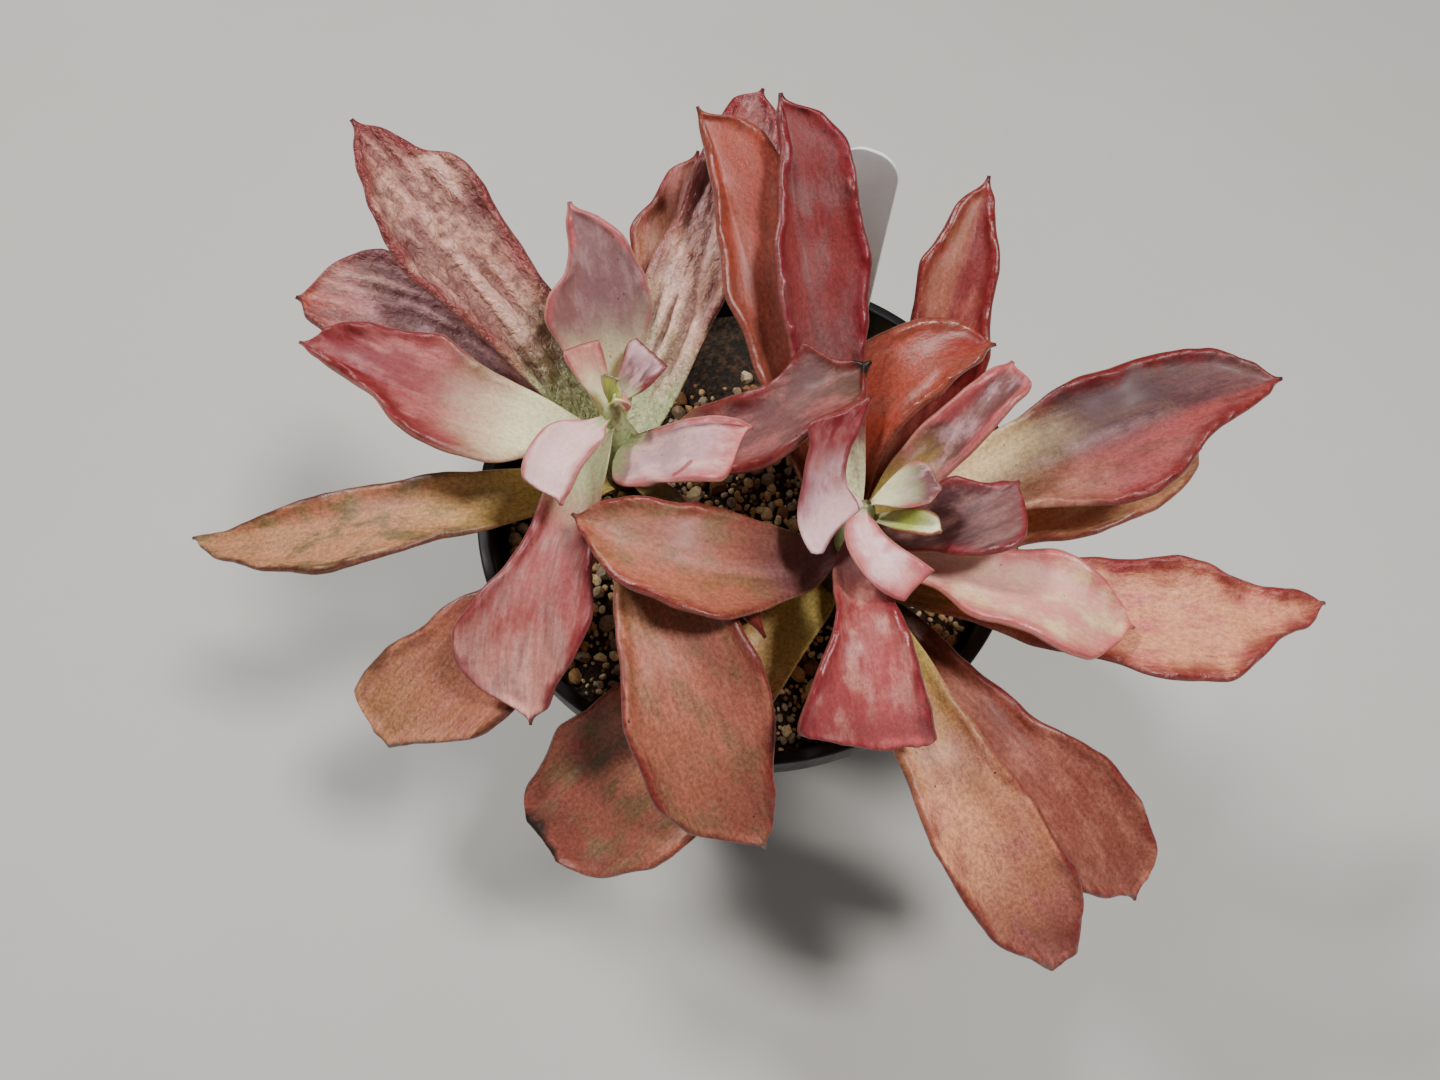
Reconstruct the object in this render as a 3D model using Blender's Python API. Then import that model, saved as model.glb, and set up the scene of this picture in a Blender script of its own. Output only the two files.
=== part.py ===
"""A potted echeveria: a nursery pot of soil dressed with grit, a blank plant label, and a plant with
two short stems that each carry a rosette of thick, waved leaves.

All sizes are in millimetres. The origin is the middle of the pot's base, with +Z up, +X to the right
seen from the front and +Y to the back. A leaf is worked out from its midrib, an arched curve from its
foot on the stem to its tip, and from its half widths along that midrib.
"""

import math
from dataclasses import dataclass

import bmesh
import bpy
import numpy as np
from mathutils import Vector

# Blender's unit is the metre.
MM = 0.001
GAP = 0.3

# The pot, whose wall widens evenly from its base up to its lip.
POT_HEIGHT = 130.0
BASE_RADIUS = 51.0
RIM_RADIUS = 75.0
RIM_BORE = 71.5
LIP_HEIGHT = 11.0
WALL_TOP_RADIUS = 72.2
WALL = 1.3
FLOOR = 2.0
POT_SIDES = 64
DRAIN_HOLES = 8
DRAIN_RADIUS = 5.0
DRAIN_RING = 37.0
# Part of a step that the holes are turned by, so that none has its middle on an edge of the base.
DRAIN_TURN = 0.43

# The soil, with its dressing of grit as relief.
SOIL_TOP = 114.2
GRIT_RINGS = 17
GRIT_RELIEF = 2.8
GRIT_SHIFT = 0.9
SEED = 11

# The two stems, with a ridge at each ring of old leaf scars.
STEM_RADIUS = 6.0
STEM_SIDES = 16
SCAR_STEP = 6.5
SCAR_DEPTH = 0.25
# Above this height a stem narrows to its tip, which the heart's leaves stand round.
TAPER_FROM = 176.0
STEM_TIP = 185.0
STEM_TIP_RADIUS = 2.8

# The label, which leans outwards behind the plant.
LABEL_WIDTH = 16.0
LABEL_THICK = 1.0
LABEL_LENGTH = 104.0
LABEL_POINT = 14.0
LABEL_LEAN = 5.1
LABEL_AZIMUTH = 65.0
LABEL_FOOT_RADIUS = 62.7
LABEL_FOOT = 88.0

# The leaves' shape: folded like a trough at the foot, thick in the middle and thin at the edge.
LEAF_ROWS = 11
SMALL_LEAF_ROWS = 6
SMALL_LEAF_REACH = 30.0
FOOT_FOLD = 22.0
FOOT_GAP = 0.35
EDGE_THICK = 1.0
SAMPLES = 33

# Colours by eye, as red, green and blue from 0 to 255 on screen.
BLACK_PLASTIC = (24, 24, 25)
DARK_SOIL = (120, 104, 82)
WHITE_PLASTIC = (226, 224, 217)
STEM_BROWN = (96, 80, 60)
SILVER_ROSE = (172, 140, 138)
MAUVE_BROWN = (128, 92, 84)
MAUVE = (134, 98, 100)
ROSE = (176, 124, 126)
PALE_ROSE = (192, 150, 146)
LILAC = (190, 158, 162)
BRONZE = (146, 100, 84)
RED = (156, 84, 84)
PALE_GREEN = (190, 190, 152)


@dataclass
class Stem:
    """A leaning stem, from its foot in the soil to its tip in the heart of the rosette."""

    foot: tuple
    tip: tuple

    def at(self, height):
        foot, tip = np.array(self.foot), np.array(self.tip)
        return foot + (tip - foot) * (height - foot[2]) / (tip[2] - foot[2])

    def radius(self, height):
        return float(np.interp(height, (TAPER_FROM, STEM_TIP), (STEM_RADIUS, STEM_TIP_RADIUS)))


@dataclass
class Leaf:
    """One leaf. Left and right are as seen from the foot, looking towards the tip."""

    name: str
    stem: Stem
    # The heading in degrees seen from above, anticlockwise from +X.
    turn: float
    # From the stem's axis to the tip, seen from above.
    reach: float
    # Of the foot, of the middle of the arch and of the tip.
    heights: tuple
    colour: tuple
    # Fraction of the length, left half width and right half width.
    outline: tuple
    foot: tuple = (4.5, 4.5)
    tip: tuple = (0.6, 0.6)
    # How far the midrib bulges to the left.
    bow: float = 0.0
    thick: float = 3.6
    # Degrees that the left and the right half turn up.
    fold: tuple = (18.0, 18.0)
    # Degrees that the left side is raised, at the foot, a third along and at the tip.
    roll: tuple = (0.0, 0.0, 0.0)
    # Height of the margin's waves, how many there are and the phase of the first.
    wave: tuple = (0.0, 1.0, 0.0)
    # Degrees that the foot is turned round the stem, and how far it stands off.
    foot_turn: float = 0.0
    stand: float = 0.0


LEFT_STEM = Stem(foot=(-29.0, 0.0, 98.0), tip=(-33.0, -3.9, STEM_TIP))
RIGHT_STEM = Stem(foot=(22.0, -24.0, 98.0), tip=(25.0, -27.9, STEM_TIP))

LEAVES = [
    Leaf("left_leaf_01", LEFT_STEM, turn=134, reach=91, heights=(160, 187, 205), colour=SILVER_ROSE,
         outline=((0.32, 10, 10.5), (0.5, 14, 12), (0.68, 15, 14), (0.76, 13, 13.5), (0.82, 9.5, 9),
                  (0.91, 5, 5)), wave=(1.2, 2.6, 0.1)),
    Leaf("left_leaf_02", LEFT_STEM, turn=156, reach=93, heights=(142, 165, 172), colour=MAUVE_BROWN,
         outline=((0.3, 7, 8), (0.6, 11, 14), (0.8, 10, 19), (0.9, 7.5, 14), (0.96, 4, 7)), bow=-3,
         wave=(1, 2.2, 0.4)),
    Leaf("left_leaf_03", LEFT_STEM, turn=168, reach=76, heights=(165, 186, 186), colour=ROSE,
         outline=((0.17, 7, 8), (0.32, 13, 11), (0.45, 12.5, 13), (0.55, 10.5, 14), (0.65, 5.5, 13.5),
                  (0.76, 3, 12), (0.88, 1.5, 8)), bow=7, wave=(1.2, 2.8, 0.5)),
    Leaf("left_leaf_04", LEFT_STEM, turn=187, reach=117, heights=(147, 157, 138), colour=BRONZE,
         outline=((0.2, 7, 7), (0.45, 12, 9), (0.6, 15, 8), (0.72, 13, 6), (0.84, 9, 2.5), (0.93, 5, 1)),
         bow=8, wave=(0.8, 2, 0.3)),
    Leaf("left_leaf_05", LEFT_STEM, turn=227, reach=92, heights=(134, 150, 124), colour=MAUVE_BROWN,
         outline=((0.3, 8, 7), (0.5, 16, 9), (0.67, 20.5, 12.5), (0.85, 11.5, 16.5), (0.95, 4, 16)),
         tip=(0.6, 3), bow=5, wave=(0.8, 2, 0.6)),
    Leaf("left_leaf_06", LEFT_STEM, turn=253, reach=70, heights=(155, 170, 150), colour=ROSE,
         outline=((0.25, 7, 7), (0.4, 10, 7.5), (0.52, 12, 9), (0.66, 14, 15), (0.78, 11.5, 18),
                  (0.84, 8.5, 17.5), (0.9, 5.5, 12.5), (0.95, 4, 5)), bow=-4, wave=(1, 2.4, 0.2)),
    Leaf("left_leaf_07", LEFT_STEM, turn=290, reach=100, heights=(148, 172, 138), colour=BRONZE,
         outline=((0.3, 8.5, 9), (0.5, 13.5, 14), (0.65, 15.5, 18.5), (0.8, 10.5, 19),
                  (0.88, 7.5, 15.5), (0.95, 4.5, 7)), bow=-4, wave=(0.8, 2.2, 0.5)),
    Leaf("left_leaf_08", LEFT_STEM, turn=68, reach=93, heights=(156, 180, 194), colour=SILVER_ROSE,
         outline=((0.22, 6.5, 9), (0.4, 10, 11), (0.66, 9, 13), (0.85, 6.5, 10), (0.95, 6, 5)),
         wave=(1, 2.6, 0.3)),
    Leaf("left_leaf_09", LEFT_STEM, turn=78, reach=84, heights=(145, 164, 176), colour=MAUVE_BROWN,
         outline=((0.3, 7, 7), (0.6, 11, 12), (0.68, 12, 12), (0.78, 9.5, 10), (0.9, 6, 5)),
         wave=(0.8, 2.2, 0.7)),
    Leaf("left_leaf_10", LEFT_STEM, turn=104, reach=33, heights=(169, 197, 215), colour=MAUVE,
         outline=((0.2, 6, 8.5), (0.35, 9, 12), (0.48, 11, 14), (0.57, 9.5, 14), (0.66, 4.5, 12.5),
                  (0.78, 2, 10.5), (0.9, 1.5, 5.5)), thick=3.2),
    Leaf("left_leaf_11", LEFT_STEM, turn=340, reach=34, heights=(171, 193, 194), colour=LILAC,
         outline=((0.15, 5, 9), (0.3, 5, 12), (0.6, 5, 15.5), (0.78, 4, 14.5), (0.92, 3, 7)),
         bow=-3, thick=3.2, roll=(0, 18, 22), stand=0.7),
    Leaf("left_leaf_12", LEFT_STEM, turn=5, reach=58, heights=(159, 182, 194), colour=MAUVE,
         outline=((0.12, 6.5, 6), (0.25, 9, 9), (0.4, 7.5, 13), (0.58, 7.5, 14.5), (0.76, 10, 11.5),
                  (0.83, 9, 10), (0.88, 5.5, 8), (0.95, 3, 4.5)), bow=-5, wave=(0.8, 2.2, 0.3)),
    Leaf("left_leaf_13", LEFT_STEM, turn=249.5, reach=28, heights=(180, 189, 186), colour=LILAC,
         outline=((0.3, 5.5, 7.5), (0.6, 6, 7.5), (0.8, 5, 7.5), (0.93, 2.5, 4)),
         foot=(4, 6), bow=-2, thick=3),
    Leaf("left_leaf_14", LEFT_STEM, turn=118, reach=12.3, heights=(178, 187, 193), colour=PALE_ROSE,
         outline=((0.5, 4.5, 4), (0.9, 5.5, 3.6)), foot=(3, 3.5), tip=(5, 3.4), thick=2.4, foot_turn=14,
         stand=0.5),
    Leaf("left_leaf_15", LEFT_STEM, turn=44.4, reach=14.2, heights=(183, 188, 191), colour=MAUVE,
         outline=((0.5, 4, 5.5), (0.85, 4.5, 5)), foot=(3, 4), tip=(4.3, 4.3), thick=2.4),
    Leaf("left_leaf_16", LEFT_STEM, turn=50, reach=3.2, heights=(185, 190, 193), colour=PALE_GREEN,
         outline=((0.5, 3.3, 3), (0.85, 2.2, 2)), foot=(2, 2), thick=2, foot_turn=41, stand=0.5),
    Leaf("left_leaf_17", LEFT_STEM, turn=351.6, reach=3.6, heights=(184.7, 188.5, 186), colour=PALE_GREEN,
         outline=((0.5, 1.4, 3.4), (0.85, 1.2, 2.4)),
         foot=(1.6, 2.6), thick=2, foot_turn=-131.6, stand=2),
    Leaf("left_leaf_18", LEFT_STEM, turn=305, reach=60, heights=(153.3, 170.3, 160), colour=RED,
         outline=((0.5, 3.5, 3.5), (0.85, 2.5, 2.5)), foot=(3, 3), thick=2.4),
    Leaf("right_leaf_01", RIGHT_STEM, turn=112.5, reach=97, heights=(155, 184, 208), colour=BRONZE,
         outline=((0.2, 7, 6), (0.33, 8.5, 6.5), (0.55, 8.5, 8.5), (0.7, 6, 11.5), (0.8, 3, 14),
                  (0.88, 2, 12.5), (0.95, 1.5, 8)), fold=(20, 20)),
    Leaf("right_leaf_02", RIGHT_STEM, turn=102, reach=88, heights=(163, 189, 216), colour=RED,
         outline=((0.3, 9, 9), (0.53, 10.5, 13), (0.64, 11.5, 14.5), (0.73, 7, 14.5), (0.85, 3, 13),
                  (0.94, 2, 9)), fold=(50, 25), wave=(0.8, 2.4, 0.1)),
    Leaf("right_leaf_03", RIGHT_STEM, turn=50, reach=54, heights=(146, 176, 181), colour=RED,
         outline=((0.3, 9, 6), (0.5, 13, 8), (0.7, 11, 9), (0.87, 7, 6)), bow=10, stand=1.5),
    Leaf("right_leaf_04", RIGHT_STEM, turn=67, reach=86, heights=(138, 172, 196), colour=RED,
         outline=((0.3, 7, 8), (0.55, 8.5, 13), (0.63, 9.5, 11), (0.73, 10.5, 9.5), (0.8, 8, 8),
                  (0.9, 6, 4)), bow=-3, wave=(0.6, 2, 0.2)),
    Leaf("right_leaf_05", RIGHT_STEM, turn=42, reach=47, heights=(157.8, 184, 190), colour=MAUVE,
         outline=((0.3, 7, 7), (0.6, 6, 8), (0.8, 4, 9), (0.92, 2.5, 6)), bow=-2, fold=(50, 50),
         foot_turn=6, foot=(3.8, 3.8)),
    Leaf("right_leaf_06", RIGHT_STEM, turn=18, reach=107, heights=(152, 176, 180), colour=MAUVE,
         outline=((0.26, 10, 9), (0.4, 13, 13.5), (0.56, 15.5, 19), (0.66, 15.5, 16), (0.75, 14, 10.5),
                  (0.85, 12.5, 6.5), (0.93, 7, 4)), wave=(0.8, 2, 0.3)),
    Leaf("right_leaf_07", RIGHT_STEM, turn=16, reach=96, heights=(130, 157, 156), colour=BRONZE,
         outline=((0.3, 8, 6.5), (0.4, 10, 8), (0.6, 13, 12), (0.72, 13, 12), (0.84, 11, 8.5),
                  (0.93, 7, 5)), bow=-4, wave=(0.6, 2.2, 0.6)),
    Leaf("right_leaf_08", RIGHT_STEM, turn=352, reach=114, heights=(144, 166, 158), colour=ROSE,
         outline=((0.3, 9, 9), (0.45, 12, 13), (0.6, 12, 17.5), (0.7, 11.5, 18), (0.77, 8.5, 12.5),
                  (0.83, 6, 8.5), (0.92, 4, 5.5)), bow=-11, wave=(1.3, 3.2, 0.2)),
    Leaf("right_leaf_09", RIGHT_STEM, turn=337, reach=66, heights=(158.8, 179.7, 170), colour=LILAC,
         outline=((0.25, 6.5, 7), (0.45, 7.5, 12), (0.65, 9.5, 14), (0.8, 8, 12), (0.92, 4, 6)), bow=-3,
         wave=(1, 2.4, 0.5)),
    Leaf("right_leaf_10", RIGHT_STEM, turn=5, reach=34, heights=(167, 185, 187), colour=MAUVE,
         outline=((0.3, 8, 8), (0.5, 13, 11.5), (0.65, 11, 10), (0.8, 7, 6), (0.92, 3, 4)),
         bow=-4, thick=3.2, stand=1.1),
    Leaf("right_leaf_11", RIGHT_STEM, turn=273, reach=53, heights=(162, 185, 168), colour=RED,
         outline=((0.25, 7.5, 5), (0.4, 8, 5.5), (0.55, 9, 8), (0.7, 10, 12.5), (0.85, 11, 17),
                  (0.92, 11.5, 9.5), (0.97, 12, 4)), tip=(10, 0.6), bow=-3, wave=(0.8, 2, 0.2),
         stand=0.3),
    Leaf("right_leaf_12", RIGHT_STEM, turn=298, reach=107, heights=(149, 158, 124), colour=BRONZE,
         outline=((0.28, 7.5, 9), (0.46, 9.5, 10.5), (0.57, 11, 12.5), (0.7, 12.5, 13.5),
                  (0.82, 13, 12), (0.89, 11.5, 9.5), (0.94, 8, 7)), tip=(4, 3.5), bow=-7, fold=(18, 8),
         wave=(1, 2.2, 0.4)),
    Leaf("right_leaf_13", RIGHT_STEM, turn=312, reach=108, heights=(137, 150, 118), colour=BRONZE,
         outline=((0.3, 5, 8), (0.5, 7, 11), (0.65, 12, 13), (0.8, 15, 14), (0.91, 13, 8), (0.96, 9, 2.5)),
         bow=-3, wave=(0.8, 2.4, 0.8)),
    Leaf("right_leaf_14", RIGHT_STEM, turn=182.2, reach=65, heights=(153, 183, 180), colour=BRONZE,
         outline=((0.15, 6, 9.5), (0.34, 10, 11.5), (0.48, 15, 13), (0.56, 14, 13), (0.65, 11, 12),
                  (0.78, 8.5, 10), (0.9, 5, 6)), bow=12, wave=(0.6, 2, 0.3), stand=1.3),
    Leaf("right_leaf_15", RIGHT_STEM, turn=222, reach=101, heights=(136, 146, 118), colour=BRONZE,
         outline=((0.3, 9, 9), (0.5, 15, 15), (0.65, 21, 19), (0.78, 21, 20.5), (0.88, 17, 18),
                  (0.95, 12, 15)), tip=(4, 8), bow=5, fold=(8, 8), wave=(1.2, 2.6, 0.1)),
    Leaf("right_leaf_16", RIGHT_STEM, turn=353.6, reach=14.4, heights=(183, 191, 194), colour=PALE_GREEN,
         outline=((0.5, 7, 4.5), (0.85, 4.5, 3.5)), foot=(3.5, 3), thick=2.6),
    Leaf("right_leaf_17", RIGHT_STEM, turn=327.7, reach=18, heights=(176, 186, 188), colour=PALE_GREEN,
         outline=((0.5, 3.5, 3.5), (0.85, 2.5, 2.5)), foot=(3, 3), thick=2.4),
    Leaf("right_leaf_18", RIGHT_STEM, turn=92, reach=17, heights=(182.5, 191.5, 200), colour=ROSE,
         outline=((0.2, 5.5, 2.8), (0.5, 5.8, 5), (0.75, 7.6, 5), (0.86, 4.5, 3)),
         foot=(4.5, 2.5), bow=3, thick=2.8, fold=(35, 35), roll=(40, 25, 0), foot_turn=84, stand=2.5),
    Leaf("right_leaf_19", RIGHT_STEM, turn=290, reach=24, heights=(182, 190, 188), colour=LILAC,
         outline=((0.4, 5.8, 5.8), (0.85, 6, 6)),
         tip=(3.5, 3.5), bow=-2.5, thick=2.8, foot_turn=-22, stand=1.5),
]


def linear(colour):
    """Blender's linear colour from one given as 0 to 255 on screen."""
    return [(level / 255) ** 2.2 for level in colour] + [1.0]


def add_object(name, mesh, colour, roughness, location=(0, 0, 0), parent=None):
    """The sub-part's object, placed by its location in millimetres under its parent."""
    material = bpy.data.materials.new(name)
    material.use_nodes = True
    shader = material.node_tree.nodes["Principled BSDF"]
    shader.inputs["Base Color"].default_value = linear(colour)
    shader.inputs["Roughness"].default_value = roughness
    shader.inputs["Metallic"].default_value = 0.0
    mesh.materials.append(material)
    obj = bpy.data.objects.new(name, mesh)
    bpy.context.scene.collection.objects.link(obj)
    obj.location = Vector(location) * MM
    obj.parent = parent
    return obj


def add_empty(name, location=(0, 0, 0), parent=None):
    empty = bpy.data.objects.new(name, None)
    bpy.context.scene.collection.objects.link(empty)
    empty.location = Vector(location) * MM
    empty.parent = parent
    return empty


def mesh_of(name, points, faces, smooth_angle=40.0):
    """A mesh from points in millimetres, shaded smooth across all but its sharp edges."""
    mesh = bpy.data.meshes.new(name)
    mesh.from_pydata((np.asarray(points) * MM).tolist(), [], faces)
    mesh.shade_smooth()
    mesh.set_sharp_from_angle(angle=math.radians(smooth_angle))
    return mesh


def turned_mesh(name, profile, sides):
    """Turns a profile of (radius, height) points, whose two ends are on the axis, round +Z."""
    work = bmesh.new()
    points = [work.verts.new((radius * MM, 0, height * MM)) for radius, height in profile]
    edges = [work.edges.new(pair) for pair in zip(points, points[1:])]
    bmesh.ops.spin(
        work, geom=points + edges, axis=(0, 0, 1), cent=(0, 0, 0), angle=2 * math.pi, steps=sides, use_merge=True
    )
    bmesh.ops.remove_doubles(work, verts=work.verts, dist=1e-7)
    bmesh.ops.recalc_face_normals(work, faces=work.faces)
    mesh = bpy.data.meshes.new(name)
    work.to_mesh(mesh)
    work.free()
    mesh.shade_smooth()
    mesh.set_sharp_from_angle(angle=math.radians(35))
    return mesh


def ringed_mesh(name, rings, sides):
    """A closed body through level rings, each a (centre, radius), from the lowest up."""
    turns = np.linspace(0, 2 * math.pi, sides, endpoint=False)
    circle = np.stack([np.cos(turns), np.sin(turns), np.zeros(sides)], axis=1)
    points = np.concatenate([np.asarray(centre) + radius * circle for centre, radius in rings])
    faces = []
    for ring in range(len(rings) - 1):
        for side in range(sides):
            after = (side + 1) % sides
            low, high = ring * sides, (ring + 1) * sides
            faces.append((low + side, low + after, high + after, high + side))
    faces.append(tuple(reversed(range(sides))))
    faces.append(tuple(range(len(points) - sides, len(points))))
    return mesh_of(name, points, faces)


def as_cutter(obj):
    obj.hide_render = True
    obj.display_type = "WIRE"
    return obj


def cut(obj, cutter):
    """Takes the cutter's shape out of the object."""
    modifier = obj.modifiers.new(cutter.name, "BOOLEAN")
    modifier.operation = "DIFFERENCE"
    modifier.object = cutter


def wall_radius(height):
    """Outer radius of the pot's wall below its lip."""
    wall_top = POT_HEIGHT - LIP_HEIGHT
    return BASE_RADIUS + (WALL_TOP_RADIUS - BASE_RADIUS) * height / wall_top


def make_pot(root):
    """The moulded pot, with its thick lip and the drainage holes round its base."""
    lip_foot = POT_HEIGHT - LIP_HEIGHT
    profile = [
        (0, 0),
        (BASE_RADIUS - 1.2, 0),
        (wall_radius(1.2), 1.2),
        (wall_radius(lip_foot), lip_foot),
        (RIM_RADIUS - 0.6, lip_foot + 0.4),
        (RIM_RADIUS, lip_foot + 1.4),
        (RIM_RADIUS, POT_HEIGHT - 1.0),
        (RIM_RADIUS - 1.0, POT_HEIGHT),
        (RIM_BORE + 0.8, POT_HEIGHT),
        (RIM_BORE, POT_HEIGHT - 0.8),
        (wall_radius(lip_foot) - WALL, lip_foot - 2),
        (wall_radius(FLOOR) - WALL, FLOOR),
        (0, FLOOR),
    ]
    pot = add_object("pot", turned_mesh("pot", profile, POT_SIDES), BLACK_PLASTIC, 0.42, parent=root)
    for number in range(DRAIN_HOLES):
        turn = 2 * math.pi * (number + DRAIN_TURN) / DRAIN_HOLES
        place = np.array([DRAIN_RING * math.cos(turn), DRAIN_RING * math.sin(turn), 0])
        rings = [(place - [0, 0, 2], DRAIN_RADIUS), (place + [0, 0, FLOOR + 2], DRAIN_RADIUS)]
        name = f"drain_cutter_{number + 1}"
        hole = add_object(name, ringed_mesh(name, rings, 16), BLACK_PLASTIC, 0.5, parent=root)
        cut(pot, as_cutter(hole))


def make_soil(root, cutters):
    """The soil, filling the pot. Its top is a disc of rings of points, raised and shifted at random."""
    random = np.random.default_rng(SEED)
    edge = wall_radius(SOIL_TOP) - WALL - GAP
    points = [(0, 0, SOIL_TOP)]
    for ring in range(1, GRIT_RINGS + 1):
        turns = 2 * math.pi * np.arange(6 * ring) / (6 * ring)
        radius = edge * ring / GRIT_RINGS
        inside = ring < GRIT_RINGS
        for turn in turns:
            shift = random.uniform(-GRIT_SHIFT, GRIT_SHIFT, 2) if inside else (0, 0)
            rise = random.uniform(0, GRIT_RELIEF) if inside else 0
            points.append((radius * math.cos(turn) + shift[0], radius * math.sin(turn) + shift[1], SOIL_TOP + rise))

    def index(ring, place):
        return 0 if ring == 0 else 1 + 3 * ring * (ring - 1) + place % (6 * ring)

    faces = []
    for ring in range(1, GRIT_RINGS + 1):
        for sector in range(6):
            for step in range(ring):
                outer, inner = sector * ring + step, sector * (ring - 1) + step
                faces.append((index(ring, outer), index(ring, outer + 1), index(ring - 1, inner)))
                if step < ring - 1:
                    faces.append((index(ring - 1, inner), index(ring, outer + 1), index(ring - 1, inner + 1)))
    rim = [index(GRIT_RINGS, place) for place in range(6 * GRIT_RINGS)]
    low = FLOOR + GAP
    low_edge = wall_radius(low) - WALL - GAP
    foot = list(range(len(points), len(points) + len(rim)))
    for place in range(len(rim)):
        turn = 2 * math.pi * place / len(rim)
        points.append((low_edge * math.cos(turn), low_edge * math.sin(turn), low))
    for place in range(len(rim)):
        after = (place + 1) % len(rim)
        faces.append((foot[place], foot[after], rim[after], rim[place]))
    faces.append(tuple(reversed(foot)))
    soil = add_object("soil", mesh_of("soil", points, faces, 25), DARK_SOIL, 0.9, parent=root)
    for cutter in cutters:
        cut(soil, cutter)


def make_stem(name, stem, root):
    """A stem ringed with leaf scars. Returns the cutter of its hole in the soil."""
    foot = stem.foot[2]
    count = round((TAPER_FROM - foot) / SCAR_STEP)
    step = (TAPER_FROM - foot) / count
    rings = []
    for number in range(count):
        rings.append((stem.at(foot + number * step), STEM_RADIUS - SCAR_DEPTH))
        rings.append((stem.at(foot + (number + 0.6) * step), STEM_RADIUS))
    for height in (TAPER_FROM, (TAPER_FROM + STEM_TIP) / 2, STEM_TIP - 0.8):
        rings.append((stem.at(height), stem.radius(height)))
    rings.append((stem.at(STEM_TIP), STEM_TIP_RADIUS - 1))
    add_object(name, ringed_mesh(name, rings, STEM_SIDES), STEM_BROWN, 0.8, parent=root)
    hole = STEM_RADIUS + GAP
    cutter_rings = [(stem.at(foot - GAP), hole), (stem.at(SOIL_TOP + 2 * GRIT_RELIEF), hole)]
    cutter_name = name + "_cutter"
    cutter = add_object(cutter_name, ringed_mesh(cutter_name, cutter_rings, 28), STEM_BROWN, 0.8, parent=root)
    return as_cutter(cutter)


def extruded_mesh(name, outline, thick):
    """A flat plate in the X-Z plane, as thick in Y, from its outline."""
    work = bmesh.new()
    face = work.faces.new([work.verts.new((x * MM, -thick / 2 * MM, z * MM)) for x, z in outline])
    grown = bmesh.ops.extrude_face_region(work, geom=[face])
    moved = [item for item in grown["geom"] if isinstance(item, bmesh.types.BMVert)]
    bmesh.ops.translate(work, verts=moved, vec=(0, thick * MM, 0))
    bmesh.ops.recalc_face_normals(work, faces=work.faces)
    mesh = bpy.data.meshes.new(name)
    work.to_mesh(mesh)
    work.free()
    return mesh


def make_label(root):
    """The blank label, round at its top and pointed in the soil, and the cutter of its slot."""
    half = LABEL_WIDTH / 2
    outline = [(-half / 3, 0), (half / 3, 0), (half, LABEL_POINT)]
    for step in range(13):
        turn = math.pi * step / 12
        outline.append((half * math.cos(turn), LABEL_LENGTH - half + half * math.sin(turn)))
    outline.append((-half, LABEL_POINT))
    azimuth = math.radians(LABEL_AZIMUTH)
    foot = (LABEL_FOOT_RADIUS * math.cos(azimuth), LABEL_FOOT_RADIUS * math.sin(azimuth), LABEL_FOOT)
    lean = (-math.radians(LABEL_LEAN), 0, azimuth - math.pi / 2)
    label = add_object(
        "plant_label", extruded_mesh("plant_label", outline, LABEL_THICK), WHITE_PLASTIC, 0.35, foot, root
    )
    label.rotation_euler = lean
    wide, high = half + GAP, SOIL_TOP + 2 * GRIT_RELIEF - LABEL_FOOT
    slot = [(-wide, -GAP), (wide, -GAP), (wide, high), (-wide, high)]
    cutter = add_object(
        "slot_cutter", extruded_mesh("slot_cutter", slot, LABEL_THICK + 2 * GAP), WHITE_PLASTIC, 0.5, foot, root
    )
    cutter.rotation_euler = lean
    return as_cutter(cutter)


def smooth_through(stations, values, at):
    """A smooth curve through the values at the stations, which never overshoots them."""
    x, y = np.asarray(stations, float), np.asarray(values, float)
    step = np.diff(x)
    slope = np.diff(y) / step
    tangent = np.zeros_like(y)
    tangent[0], tangent[-1] = slope[0], slope[-1]
    for k in range(1, len(x) - 1):
        if slope[k - 1] * slope[k] > 0:
            near, far = 2 * step[k] + step[k - 1], step[k] + 2 * step[k - 1]
            tangent[k] = (near + far) / (near / slope[k - 1] + far / slope[k])
    k = np.clip(np.searchsorted(x, at, side="right") - 1, 0, len(x) - 2)
    t = (at - x[k]) / step[k]
    return (
        (1 + 2 * t) * (1 - t) ** 2 * y[k]
        + t * (1 - t) ** 2 * step[k] * tangent[k]
        + t * t * (3 - 2 * t) * y[k + 1]
        + t * t * (t - 1) * step[k] * tangent[k + 1]
    )


def unit(vectors):
    return vectors / np.linalg.norm(vectors, axis=-1, keepdims=True)


def level(turn):
    """The level direction at an angle in radians, anticlockwise from +X."""
    return np.array([math.cos(turn), math.sin(turn), 0.0])


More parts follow.
